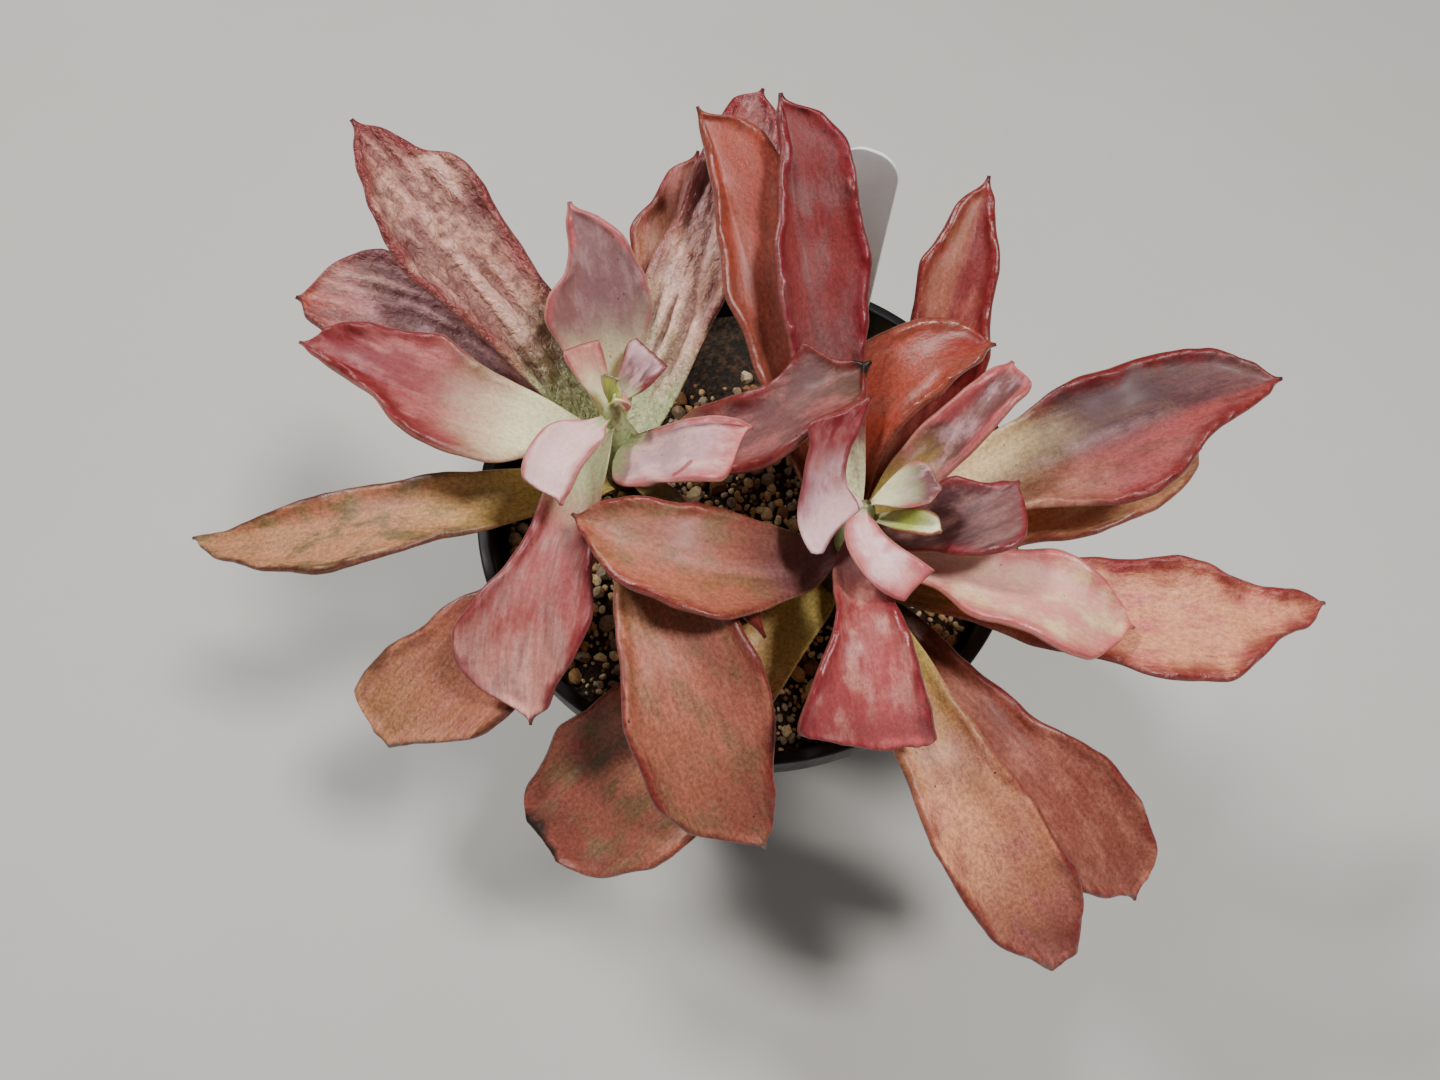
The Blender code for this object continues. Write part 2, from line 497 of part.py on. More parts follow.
def midrib(leaf, s):
    """Points of the midrib at the fractions s, and the leaf's own left and up directions there."""
    turn = math.radians(leaf.turn)
    left = level(turn + math.pi / 2)
    foot_z, crown_z, tip_z = leaf.heights
    off_axis = leaf.stem.radius(foot_z) + FOOT_GAP + leaf.stand
    foot_angle = turn + math.atan2(4 * leaf.bow, leaf.reach) + math.radians(leaf.foot_turn)
    base = leaf.stem.at(foot_z)
    foot = base + level(foot_angle) * off_axis
    tip = base + level(turn) * leaf.reach + [0, 0, tip_z - foot_z]
    middle = (foot + tip) / 2 + left * leaf.bow
    middle[2] = crown_z
    handle = 2 * middle - (foot + tip) / 2
    s = s[:, None]
    points = (1 - s) ** 2 * foot + 2 * s * (1 - s) * handle + s * s * tip
    forward = unit((1 - s) * (handle - foot) + s * (tip - handle))
    side = unit(left - forward * (forward @ left)[:, None])
    up = np.cross(forward, side)
    roll = np.radians(np.interp(s, (0, 0.35, 1), leaf.roll))
    return points, side * np.cos(roll) + up * np.sin(roll), up * np.cos(roll) - side * np.sin(roll)


def running_sum(values):
    """The integral across a half of the blade, from the midrib to each sample."""
    steps = (values[:, 1:] + values[:, :-1]) / 2 / (SAMPLES - 1)
    return np.concatenate([np.zeros((len(values), 1)), np.cumsum(steps, axis=1)], axis=1)


def leaf_faces(leaf, rows, across):
    """Points of the upper and the lower face, in rows from foot to tip and columns from right to left."""
    # The rows lie closer together towards the tip.
    s = 1 - (1 - np.linspace(0, 1, rows + 1)) ** 1.25
    points, side, up = midrib(leaf, s)
    outline = np.array([(0, *leaf.foot), *leaf.outline, (1, *leaf.tip)], float)
    grown = np.clip(s / 0.4, 0, 1)
    grown = grown * grown * (3 - 2 * grown)
    flatter = 1 - 0.5 * np.clip((s - 0.75) / 0.25, 0, 1)
    thick = leaf.thick * (1 - 0.45 * s**0.8)
    amount, count, phase = leaf.wave
    waved = np.clip(np.sin(math.pi * np.clip(s * 1.05 - 0.05, 0, 1)), 0, 1) ** 0.7
    bend = np.sin(math.pi / 2 * np.clip(np.linspace(0, 1, SAMPLES) / 0.6, 0, 1))
    upper, lower = [], []
    for place in across:
        is_left = place > 0
        sign = 1 if is_left else -1
        half_width = smooth_through(outline[:, 0], outline[:, 1 if is_left else 2], s)
        fold = leaf.fold[0 if is_left else 1]
        slope = (np.radians(FOOT_FOLD + (fold - FOOT_FOLD) * grown) * flatter)[:, None] * bend
        out = abs(place)
        sample = round(out * (SAMPLES - 1))
        ripple = amount * out**2 * waved * np.sin(2 * math.pi * (count * s + phase + (0 if is_left else 0.37)))
        sideways = half_width * running_sum(np.cos(slope))[:, sample]
        rise = half_width * running_sum(np.sin(slope))[:, sample] + ripple
        face = points + side * (sign * sideways)[:, None] + up * rise[:, None]
        tilt = slope[:, sample]
        normal = up * np.cos(tilt)[:, None] - side * (sign * np.sin(tilt))[:, None]
        depth = EDGE_THICK + (thick - EDGE_THICK) * (1 - out**2.5) ** 0.8
        depth = np.minimum(depth, 0.5 + 0.9 * half_width)
        upper.append(face)
        lower.append(face - normal * depth[:, None])
    return np.stack(upper, axis=1), np.stack(lower, axis=1)


def leaf_solid(leaf, across=(-1, -0.5, 0, 0.5, 1)):
    """Points and faces of the closed leaf. Both sides are split into triangles alike, so they never cross."""
    rows = LEAF_ROWS if leaf.reach > SMALL_LEAF_REACH else SMALL_LEAF_ROWS
    upper, lower = leaf_faces(leaf, rows, across)
    columns = len(across)
    below = upper[..., 0].size
    points = np.concatenate([upper.reshape(-1, 3), lower.reshape(-1, 3)])
    faces = []
    for row in range(rows):
        for column in range(columns - 1):
            a = row * columns + column
            b, c, d = a + 1, a + 1 + columns, a + columns
            faces += [(a, d, c), (a, c, b)]
            a, b, c, d = a + below, b + below, c + below, d + below
            faces += [(a, c, d), (a, b, c)]
        right, left = row * columns, (row + 1) * columns - 1
        faces.append((right, right + below, right + columns + below, right + columns))
        faces.append((left, left + columns, left + columns + below, left + below))
    last = rows * columns
    for column in range(columns - 1):
        faces.append((column, column + 1, column + 1 + below, column + below))
        a = last + column
        faces.append((a, a + below, a + 1 + below, a + 1))
    return points, faces


def make_leaf(leaf, rosette):
    """The leaf's object, with its origin in the middle of its foot."""
    points, faces = leaf_solid(leaf)
    foot = midrib(leaf, np.zeros(1))[0][0]
    mesh = mesh_of(leaf.name, points - foot, faces, 50)
    add_object(leaf.name, mesh, leaf.colour, 0.5, foot - np.array(leaf.stem.tip), rosette)


def main():
    for obj in list(bpy.data.objects):
        bpy.data.objects.remove(obj)
    root = add_empty("potted_echeveria")
    make_pot(root)
    cutters = [make_label(root)]
    for name, stem in (("left", LEFT_STEM), ("right", RIGHT_STEM)):
        cutters.append(make_stem(name + "_stem", stem, root))
        rosette = add_empty(name + "_rosette", stem.tip, root)
        for leaf in LEAVES:
            if leaf.stem is stem:
                make_leaf(leaf, rosette)
    make_soil(root, cutters)


main()
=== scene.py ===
"""The looks of the potted echeveria: waxy waved leaves that turn from a cream-green foot to rose, mauve
and bronze with glossy margins, two scarred stems, a black nursery pot, a blank label and loose grit.

Sizes are in millimetres until a mesh is made. The leaves follow the same midribs and outlines as their
solids, with finer relief, and replace them.
"""

import math
from dataclasses import dataclass

import bmesh
import bpy
import numpy as np
from mathutils import Euler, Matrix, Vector, noise


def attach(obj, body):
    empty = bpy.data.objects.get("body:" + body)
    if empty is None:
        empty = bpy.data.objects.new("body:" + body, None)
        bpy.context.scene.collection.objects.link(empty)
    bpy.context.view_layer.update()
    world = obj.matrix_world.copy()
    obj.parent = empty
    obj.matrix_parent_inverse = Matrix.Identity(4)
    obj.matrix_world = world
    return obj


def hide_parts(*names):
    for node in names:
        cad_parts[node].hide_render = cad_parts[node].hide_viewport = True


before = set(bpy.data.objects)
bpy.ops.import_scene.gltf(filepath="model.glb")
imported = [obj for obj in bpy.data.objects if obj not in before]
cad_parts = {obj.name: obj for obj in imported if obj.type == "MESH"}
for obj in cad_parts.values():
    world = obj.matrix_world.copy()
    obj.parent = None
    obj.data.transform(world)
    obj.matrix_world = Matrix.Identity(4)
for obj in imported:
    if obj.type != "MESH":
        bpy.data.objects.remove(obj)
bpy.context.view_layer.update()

MM = 0.001

# The camera of the photograph: its place, how far it looks down from the level, and its lens.
CAMERA_PLACE = (-7.8, -130.6, 399.3)
CAMERA_DOWN = 66.53
CAMERA_LENS = 27.0
CAMERA_SENSOR = 36.0

# The pot and the soil, as in the solids.
POT_HEIGHT = 130.0
BASE_RADIUS = 51.0
RIM_RADIUS = 75.0
RIM_BORE = 71.5
LIP_HEIGHT = 11.0
WALL_TOP_RADIUS = 72.2
WALL = 1.3
FLOOR = 2.0
POT_SIDES = 160
DRAIN_HOLES = 8
DRAIN_RADIUS = 5.0
DRAIN_RING = 37.0
DRAIN_TURN = 0.43
LIP_ROUND = 0.9
STEP_HEIGHT = 18.0
STEP_DEPTH = 0.35
SOIL_TOP = 114.2
SOIL_GAP = 0.3
SOIL_RINGS = 84
SOIL_SIDES = 260

# The grit: how many grains are tried, their radii and how often each is drawn, and the place left bare.
GRIT_SEED = 29
GRIT_TRIES = 11000
GRIT_RADII = (0.65, 1.1, 1.6, 2.2, 2.7)
GRIT_SHARES = (0.3, 0.27, 0.22, 0.14, 0.07)
GRIT_SIDES = 11
BARE_PLACE = np.array([-8.0, 54.0])
BARE_RADIUS = 24.0

# The stems.
STEM_RADIUS = 6.0
TAPER_FROM = 176.0
STEM_TIP = 185.0
STEM_TIP_RADIUS = 2.8
STEM_SIDES = 72
STEM_ROWS = 150
SCAR_RISE = 2.4
GOLDEN_TURN = math.radians(137.5)

# In the hearts the fine stems narrow to a point, and the leaves' feet close over it.
HEART_FROM = 160.0
HEART_TIP = 187.0
HEART_TIP_RADIUS = 0.9
LEFT_CROWN = 185.0
RIGHT_CROWN = 181.5

# The label.
LABEL_WIDTH = 16.0
LABEL_THICK = 1.0
LABEL_LENGTH = 104.0
LABEL_POINT = 14.0
LABEL_LEAN = 5.1
LABEL_AZIMUTH = 65.0
LABEL_FOOT_RADIUS = 62.7
LABEL_FOOT = 88.0
LABEL_CORNER = 7.0

# The leaves' shape, as in the solids.
FOOT_FOLD = 22.0
FOOT_GAP = 0.35
EDGE_THICK = 1.0
ROW_STEP = 0.85
FEWEST_ROWS = 26
HALF_COLUMNS = 22

# Their fine relief: the margin's lobes, broad and small, its rolled rim with a dip behind it and a
# bead, and the broad and small swelling of the blade.
LOBES = 1.5
SMALL_LOBES = 0.3
RIM_ROLL = 1.1
RIM_DIP = 0.45
RIM_BEAD = 0.5
SWELL = 1.25
SMALL_SWELL = 0.45

# Colours, as red, green and blue from 0 to 255 on screen.
CREAM_GREEN = (240, 238, 196)
PALE_GREEN = (184, 192, 150)
LEAF_GREEN = (130, 150, 84)
LIME = (186, 202, 104)
OLIVE = (124, 106, 66)
YELLOW_OLIVE = (204, 182, 112)
CREAM = (234, 206, 160)
SILVER = (212, 162, 144)
LILAC = (204, 166, 172)
PALE_LILAC = (246, 204, 206)
DUSK = (164, 124, 126)
PALE_ROSE = (230, 172, 158)
PINK = (202, 108, 110)
ROSE = (168, 90, 88)
MAGENTA = (140, 46, 58)
RED = (136, 52, 52)
DEEP_RED = (90, 26, 28)
CORAL = (170, 86, 70)
MAUVE = (128, 86, 86)
PLUM = (92, 56, 60)
BRONZE = (152, 90, 76)
BROWN = (100, 62, 46)
TAN = (188, 138, 102)
SAND = (222, 160, 124)
COPPER = (178, 114, 92)
DRY_BROWN = (52, 38, 30)
# A pale waxy white, also used for the painted highlight on the leaves' ridges.
BLOOM_AND_SHEEN_WHITE = (240, 202, 188)
BARK = (104, 82, 62)
BARK_DARK = (58, 44, 34)
PEAT = (44, 34, 26)
PEAT_LIGHT = (88, 68, 50)
GRIT_TAN = (208, 168, 118)
GRIT_CREAM = (238, 216, 172)
GRIT_GREY = (176, 160, 136)
GRIT_BROWN = (140, 100, 66)
BLACK = (20, 20, 21)
DUST = (92, 88, 82)
LABEL_WHITE = (246, 246, 242)
LABEL_STAIN = (186, 176, 158)
FLOOR_PALE = (206, 205, 201)

# The studio: half the floor's side in metres, and each light's name, place, size, power and colour.
FLOOR_HALF = 3.0
AIMED_AT = (0, -10, 150)
LIGHTS = (
    ("overhead", (380, -90, 1150), 170, 9.6, (1.0, 0.985, 0.96)),
    ("behind", (-620, 470, 1100), 170, 10.4, (1.0, 0.99, 0.97)),
    ("fill", (-500, -900, 900), 900, 1.2, (0.97, 0.985, 1.0)),
)
WORLD_COLOUR = (0.93, 0.95, 1.0, 1.0)
WORLD_STRENGTH = 0.12


@dataclass
class Stem:
    """A leaning stem, from its foot in the soil to its tip in the heart of the rosette."""

    foot: tuple
    tip: tuple
    crown: float

    def at(self, height):
        foot, tip = np.array(self.foot), np.array(self.tip)
        part = (np.asarray(height, float) - foot[2]) / (tip[2] - foot[2])
        return foot + (tip - foot) * part[..., None]

    def radius(self, height):
        return np.interp(height, (TAPER_FROM, STEM_TIP), (STEM_RADIUS, STEM_TIP_RADIUS))

    def core(self, height):
        """The fine stem's radius."""
        return np.interp(height, (HEART_FROM, HEART_TIP), (STEM_RADIUS, HEART_TIP_RADIUS))


@dataclass
class Skin:
    """A leaf's colours from foot to tip, and its relief in millimetres."""

    foot: tuple
    blade: tuple
    end: tuple
    margin: tuple
    slot: str
    # Fractions of the length where the foot's colour is gone and where the tip's begins.
    foot_ends: float
    end_from: float
    # A colour that comes and goes in patches, and how much of it there is.
    patch: tuple
    patches: float
    # How far the margin's colour reaches in, and how much wax bloom there is, with the painted highlight on
    # the ridges.
    margin_reach: float
    bloom_and_sheen: float
    # Another colour over one half of the blade: above 0 the left half, below 0 the right one.
    half: tuple = (MAUVE, 0.0)
    specks: float = 0.6
    # How strong the fine mottling is.
    mottle: float = 0.7
    rough: float = 0.42
    swell: float = 0.7
    grooves: float = 0.08
    wrinkles: float = 0.02
    # Height of the fold along the midrib, which also sets how strong the painted highlight along its crest
    # is, and how far it drifts to the right for each millimetre along.
    crease: float = 0.0
    drift: float = 0.0
    # Scars from one point to another of the blade, each with its half width, and their colour.
    scars: tuple = ()
    scar: tuple = RED
    knobs: float = 0.3
    # How pale the very edge is.
    pale_line: float = 0.12
    # Fraction of the length from which the tip is dry and brown.
    dry_from: float = 1.2


@dataclass
class Leaf:
    """One leaf. Left and right are as seen from the foot, looking towards the tip."""

    number: int
    # The heading in degrees seen from above, anticlockwise from +X.
    turn: float
    # From the stem's axis to the tip, seen from above.
    reach: float
    # Of the foot, of the middle of the arch and of the tip.
    heights: tuple
    # Fraction of the length, left half width and right half width.
    outline: tuple
    skin: Skin
    foot: tuple = (4.5, 4.5)
    tip: tuple = (0.6, 0.6)
    # How far the midrib bulges to the left.
    bow: float = 0.0
    thick: float = 3.6
    # Degrees that the left and the right half turn up.
    fold: tuple = (18.0, 18.0)
    # Degrees that the left side is raised, at the foot, a third along and at the tip.
    roll: tuple = (0.0, 0.0, 0.0)
    # Height of the margin's waves, how many there are and the phase of the first.
    wave: tuple = (0.0, 1.0, 0.0)
    # Degrees that the foot is turned round the stem, and how far it stands off.
    foot_turn: float = 0.0
    stand: float = 0.0
    # How far the fine leaf's foot runs up the stem, and how far its left half is drawn back at the foot.
    climb: float = 0.0
    sweep: float = 0.0
    # These two are given for a whole rosette.
    stem: Stem = None
    name: str = ""


LEFT_STEM = Stem(foot=(-29.0, 0.0, 98.0), tip=(-33.0, -3.9, STEM_TIP), crown=LEFT_CROWN)
RIGHT_STEM = Stem(foot=(22.0, -24.0, 98.0), tip=(25.0, -27.9, STEM_TIP), crown=RIGHT_CROWN)

LEFT_LEAVES = [
    Leaf(1, 134, 91, (160, 187, 205),
        ((0.32, 10, 10.5), (0.5, 14, 12), (0.68, 15, 14), (0.76, 13, 13.5), (0.82, 9.5, 9), (0.91, 5, 5)),
        Skin(PALE_GREEN, SILVER, SILVER, MAGENTA, "rose_leaf", 0.34, 0.8, ROSE, 0.4, 5.0, 0.5, grooves=1.9,
        wrinkles=0.7, knobs=0.5, rough=0.33), wave=(1.2, 2.6, 0.1)),
    Leaf(2, 156, 93, (142, 165, 172),
        ((0.3, 7, 8), (0.6, 11, 14), (0.8, 10, 19), (0.9, 7.5, 14), (0.96, 4, 7)),
        Skin(SILVER, LILAC, CORAL, RED, "mauve_leaf", 0.32, 0.76, MAUVE, 0.4, 2.4, 0.55, grooves=1.3,
        wrinkles=0.35), bow=-3, wave=(1, 2.2, 0.4)),
    Leaf(3, 168, 76, (165, 186, 186),
        ((0.17, 7, 8), (0.32, 13, 11), (0.45, 12.5, 13), (0.55, 10.5, 14), (0.65, 5.5, 13.5), (0.76, 3, 12),
        (0.88, 1.5, 8)),
        Skin(CREAM_GREEN, ROSE, MAGENTA, RED, "rose_leaf", 0.43, 0.5, PINK, 0.25, 4.4, 0.35, knobs=0.6,
        pale_line=0.3, mottle=0.5), bow=7, wave=(1.2, 2.8, 0.5)),
    Leaf(4, 187, 117, (147, 157, 138),
        ((0.2, 7, 7), (0.45, 12, 9), (0.6, 15, 8), (0.72, 13, 6), (0.84, 9, 2.5), (0.93, 5, 1)),
        Skin(YELLOW_OLIVE, TAN, TAN, BROWN, "bronze_leaf", 0.34, 0.6, OLIVE, 0.6, 1.3, 0.12,
        half=(MAGENTA, -0.35), mottle=0.9), bow=8, wave=(0.8, 2, 0.3)),
    Leaf(5, 227, 92, (134, 150, 124),
        ((0.3, 8, 7), (0.5, 16, 9), (0.67, 20.5, 12.5), (0.85, 11.5, 16.5), (0.95, 4, 16)),
        Skin(TAN, COPPER, TAN, BROWN, "mauve_leaf", 0.32, 0.75, ROSE, 0.3, 1.6, 0.2, swell=1.0, mottle=0.9),
        tip=(0.6, 3), bow=5, wave=(0.8, 2, 0.6)),
    # Leaf 6's pale rose tip is partly its own pink and partly a painted highlight.
    Leaf(6, 253, 70, (155, 170, 150),
        ((0.25, 7, 7), (0.4, 10, 7.5), (0.52, 12, 9), (0.66, 14, 15), (0.78, 11.5, 18), (0.84, 8.5, 17.5),
        (0.9, 5.5, 12.5), (0.95, 4, 5)),
        Skin(PALE_GREEN, ROSE, PALE_ROSE, MAGENTA, "rose_leaf", 0.34, 0.74, MAUVE, 0.35, 2.6, 0.4,
        half=(MAGENTA, 0.3), mottle=0.5), bow=-4, wave=(1, 2.4, 0.2), climb=22.0),
    Leaf(7, 290, 100, (148, 172, 138),
        ((0.3, 8.5, 9), (0.5, 13.5, 14), (0.65, 15.5, 18.5), (0.8, 10.5, 19), (0.88, 7.5, 15.5),
        (0.95, 4.5, 7)),
        Skin(OLIVE, COPPER, BRONZE, RED, "bronze_leaf", 0.42, 0.85, OLIVE, 0.3, 1.8, 0.1,
        half=(BRONZE, 0.6), specks=1.0, swell=1.2, mottle=0.9), bow=-4, wave=(0.8, 2.2, 0.5)),
    Leaf(8, 68, 93, (156, 180, 194),
        ((0.22, 6.5, 9), (0.4, 10, 11), (0.66, 9, 13), (0.85, 6.5, 10), (0.95, 6, 5)),
        Skin(PALE_GREEN, SILVER, ROSE, MAGENTA, "rose_leaf", 0.36, 0.7, LILAC, 0.4, 3.2, 0.65, grooves=2.0,
        wrinkles=0.45, rough=0.33), wave=(1, 2.6, 0.3)),
    Leaf(9, 78, 84, (145, 164, 176),
        ((0.3, 7, 7), (0.6, 11, 12), (0.68, 12, 12), (0.78, 9.5, 10), (0.9, 6, 5)),
        Skin(BROWN, TAN, BRONZE, RED, "mauve_leaf", 0.32, 0.6, ROSE, 0.5, 1.4, 0.2, grooves=0.3,
        wrinkles=0.12), wave=(0.8, 2.2, 0.7)),
    Leaf(10, 104, 33, (169, 197, 215),
        ((0.2, 6, 8.5), (0.35, 9, 12), (0.48, 11, 14), (0.57, 9.5, 14), (0.66, 4.5, 12.5), (0.78, 2, 10.5),
        (0.9, 1.5, 5.5)),
        Skin(CREAM_GREEN, DUSK, DUSK, PINK, "mauve_leaf", 0.42, 0.5, LILAC, 0.25, 1.6, 0.3,
        half=(BRONZE, 0.3), swell=0.6, pale_line=0.5, mottle=0.3), thick=3.2),
    Leaf(11, 340, 34, (171, 193, 194),
        ((0.06, 2.6, 11), (0.12, 2.6, 14), (0.3, 2.2, 14), (0.6, 1.8, 13.6), (0.76, 1.5, 13.2),
        (0.84, 1.3, 10.5), (0.9, 1.2, 5), (0.96, 1, 2)),
        Skin(PALE_GREEN, LILAC, PINK, PINK, "lilac_leaf", 0.12, 0.72, BLOOM_AND_SHEEN_WHITE, 0.35, 1.8, 0.3,
        swell=0.6, pale_line=0.5, crease=1.0, drift=0.6, scars=((-8.5, 28.5, -12, 26.5, 0.9),), scar=ROSE,
        mottle=0.3), bow=-3, thick=3.2, roll=(0, 18, 22), stand=0.7),
    Leaf(12, 5, 58, (159, 182, 194),
        ((0.12, 6.5, 6), (0.25, 9, 9), (0.4, 7.5, 13), (0.58, 7.5, 14.5), (0.72, 10.5, 12.5),
        (0.79, 12.5, 11), (0.84, 9, 10), (0.88, 5.5, 9), (0.95, 3.4, 5.5)),
        Skin(TAN, MAUVE, BROWN, RED, "mauve_leaf", 0.26, 0.7, ROSE, 0.4, 3.0, 0.2, half=(PLUM, 0.4),
        specks=1.0, dry_from=0.94, knobs=0.6, mottle=0.5), bow=-5, wave=(0.8, 2.2, 0.3)),
    Leaf(13, 249.5, 28, (180, 189, 186),
        ((0.14, 4.8, 5.5), (0.26, 6, 7.3), (0.5, 4.6, 8.4), (0.72, 3, 9.2), (0.8, 2.6, 8.8),
        (0.86, 2.2, 6.3), (0.93, 1.5, 3.1)),
        Skin(PALE_GREEN, PALE_LILAC, PALE_LILAC, PINK, "lilac_leaf", 0.12, 0.6, BLOOM_AND_SHEEN_WHITE, 0.4, 1.4, 0.5,
        specks=0.2, swell=0.4, pale_line=0.5, mottle=0.3), foot=(4, 6), bow=-2, thick=3),
    Leaf(14, 118, 12.3, (178, 187, 193), ((0.5, 4.5, 4), (0.9, 5.5, 3.6)),
        Skin(CREAM_GREEN, PALE_ROSE, PALE_ROSE, PINK, "rose_leaf", 0.6, 0.6, TAN, 0.2, 1.2, 0.25,
        specks=0.2, swell=0.3, pale_line=0.4, mottle=0.3), foot=(3, 3.5), tip=(5, 3.4), thick=2.4,
        foot_turn=14, stand=0.5),
    Leaf(15, 44.4, 14.2, (183, 188, 191), ((0.5, 5, 5.5), (0.85, 6.4, 5)),
        Skin(PALE_GREEN, MAUVE, LILAC, MAGENTA, "mauve_leaf", 0.4, 0.6, LILAC, 0.5, 1.0, 0.25,
        half=(DEEP_RED, -0.5), specks=0.3, swell=0.3, mottle=0.3), foot=(3, 4), tip=(5.8, 4.6), thick=2.4),
    Leaf(16, 50, 3.2, (185, 190, 193), ((0.3, 4.4, 4.2), (0.6, 4.6, 4.4), (0.85, 3, 2.8)),
        Skin(LEAF_GREEN, LIME, LIME, CREAM_GREEN, "green_leaf", 0.5, 0.6, TAN, 0.0, 0.6, 0.1, specks=0.0,
        swell=0.1, mottle=0.3), foot=(3, 3), thick=2, foot_turn=41, stand=0.5),
    Leaf(17, 351.6, 3.6, (184.7, 188.5, 186), ((0.3, 2.5, 4.5), (0.6, 2.6, 5), (0.85, 2, 3.4)),
        Skin(LIME, CREAM_GREEN, PALE_ROSE, PINK, "green_leaf", 0.32, 0.6, TAN, 0.0, 0.6, 0.25, specks=0.0,
        swell=0.1, mottle=0.3), foot=(2.2, 3.2), thick=2, foot_turn=-131.6, stand=2),
    Leaf(18, 305, 60, (153.3, 170.3, 160), ((0.5, 3.5, 3.5), (0.85, 2.5, 2.5)),
        Skin(OLIVE, BROWN, RED, RED, "bronze_leaf", 0.32, 0.6, TAN, 0.2, 1.2, 0.1, swell=0.2), foot=(3, 3),
        thick=2.4),
]

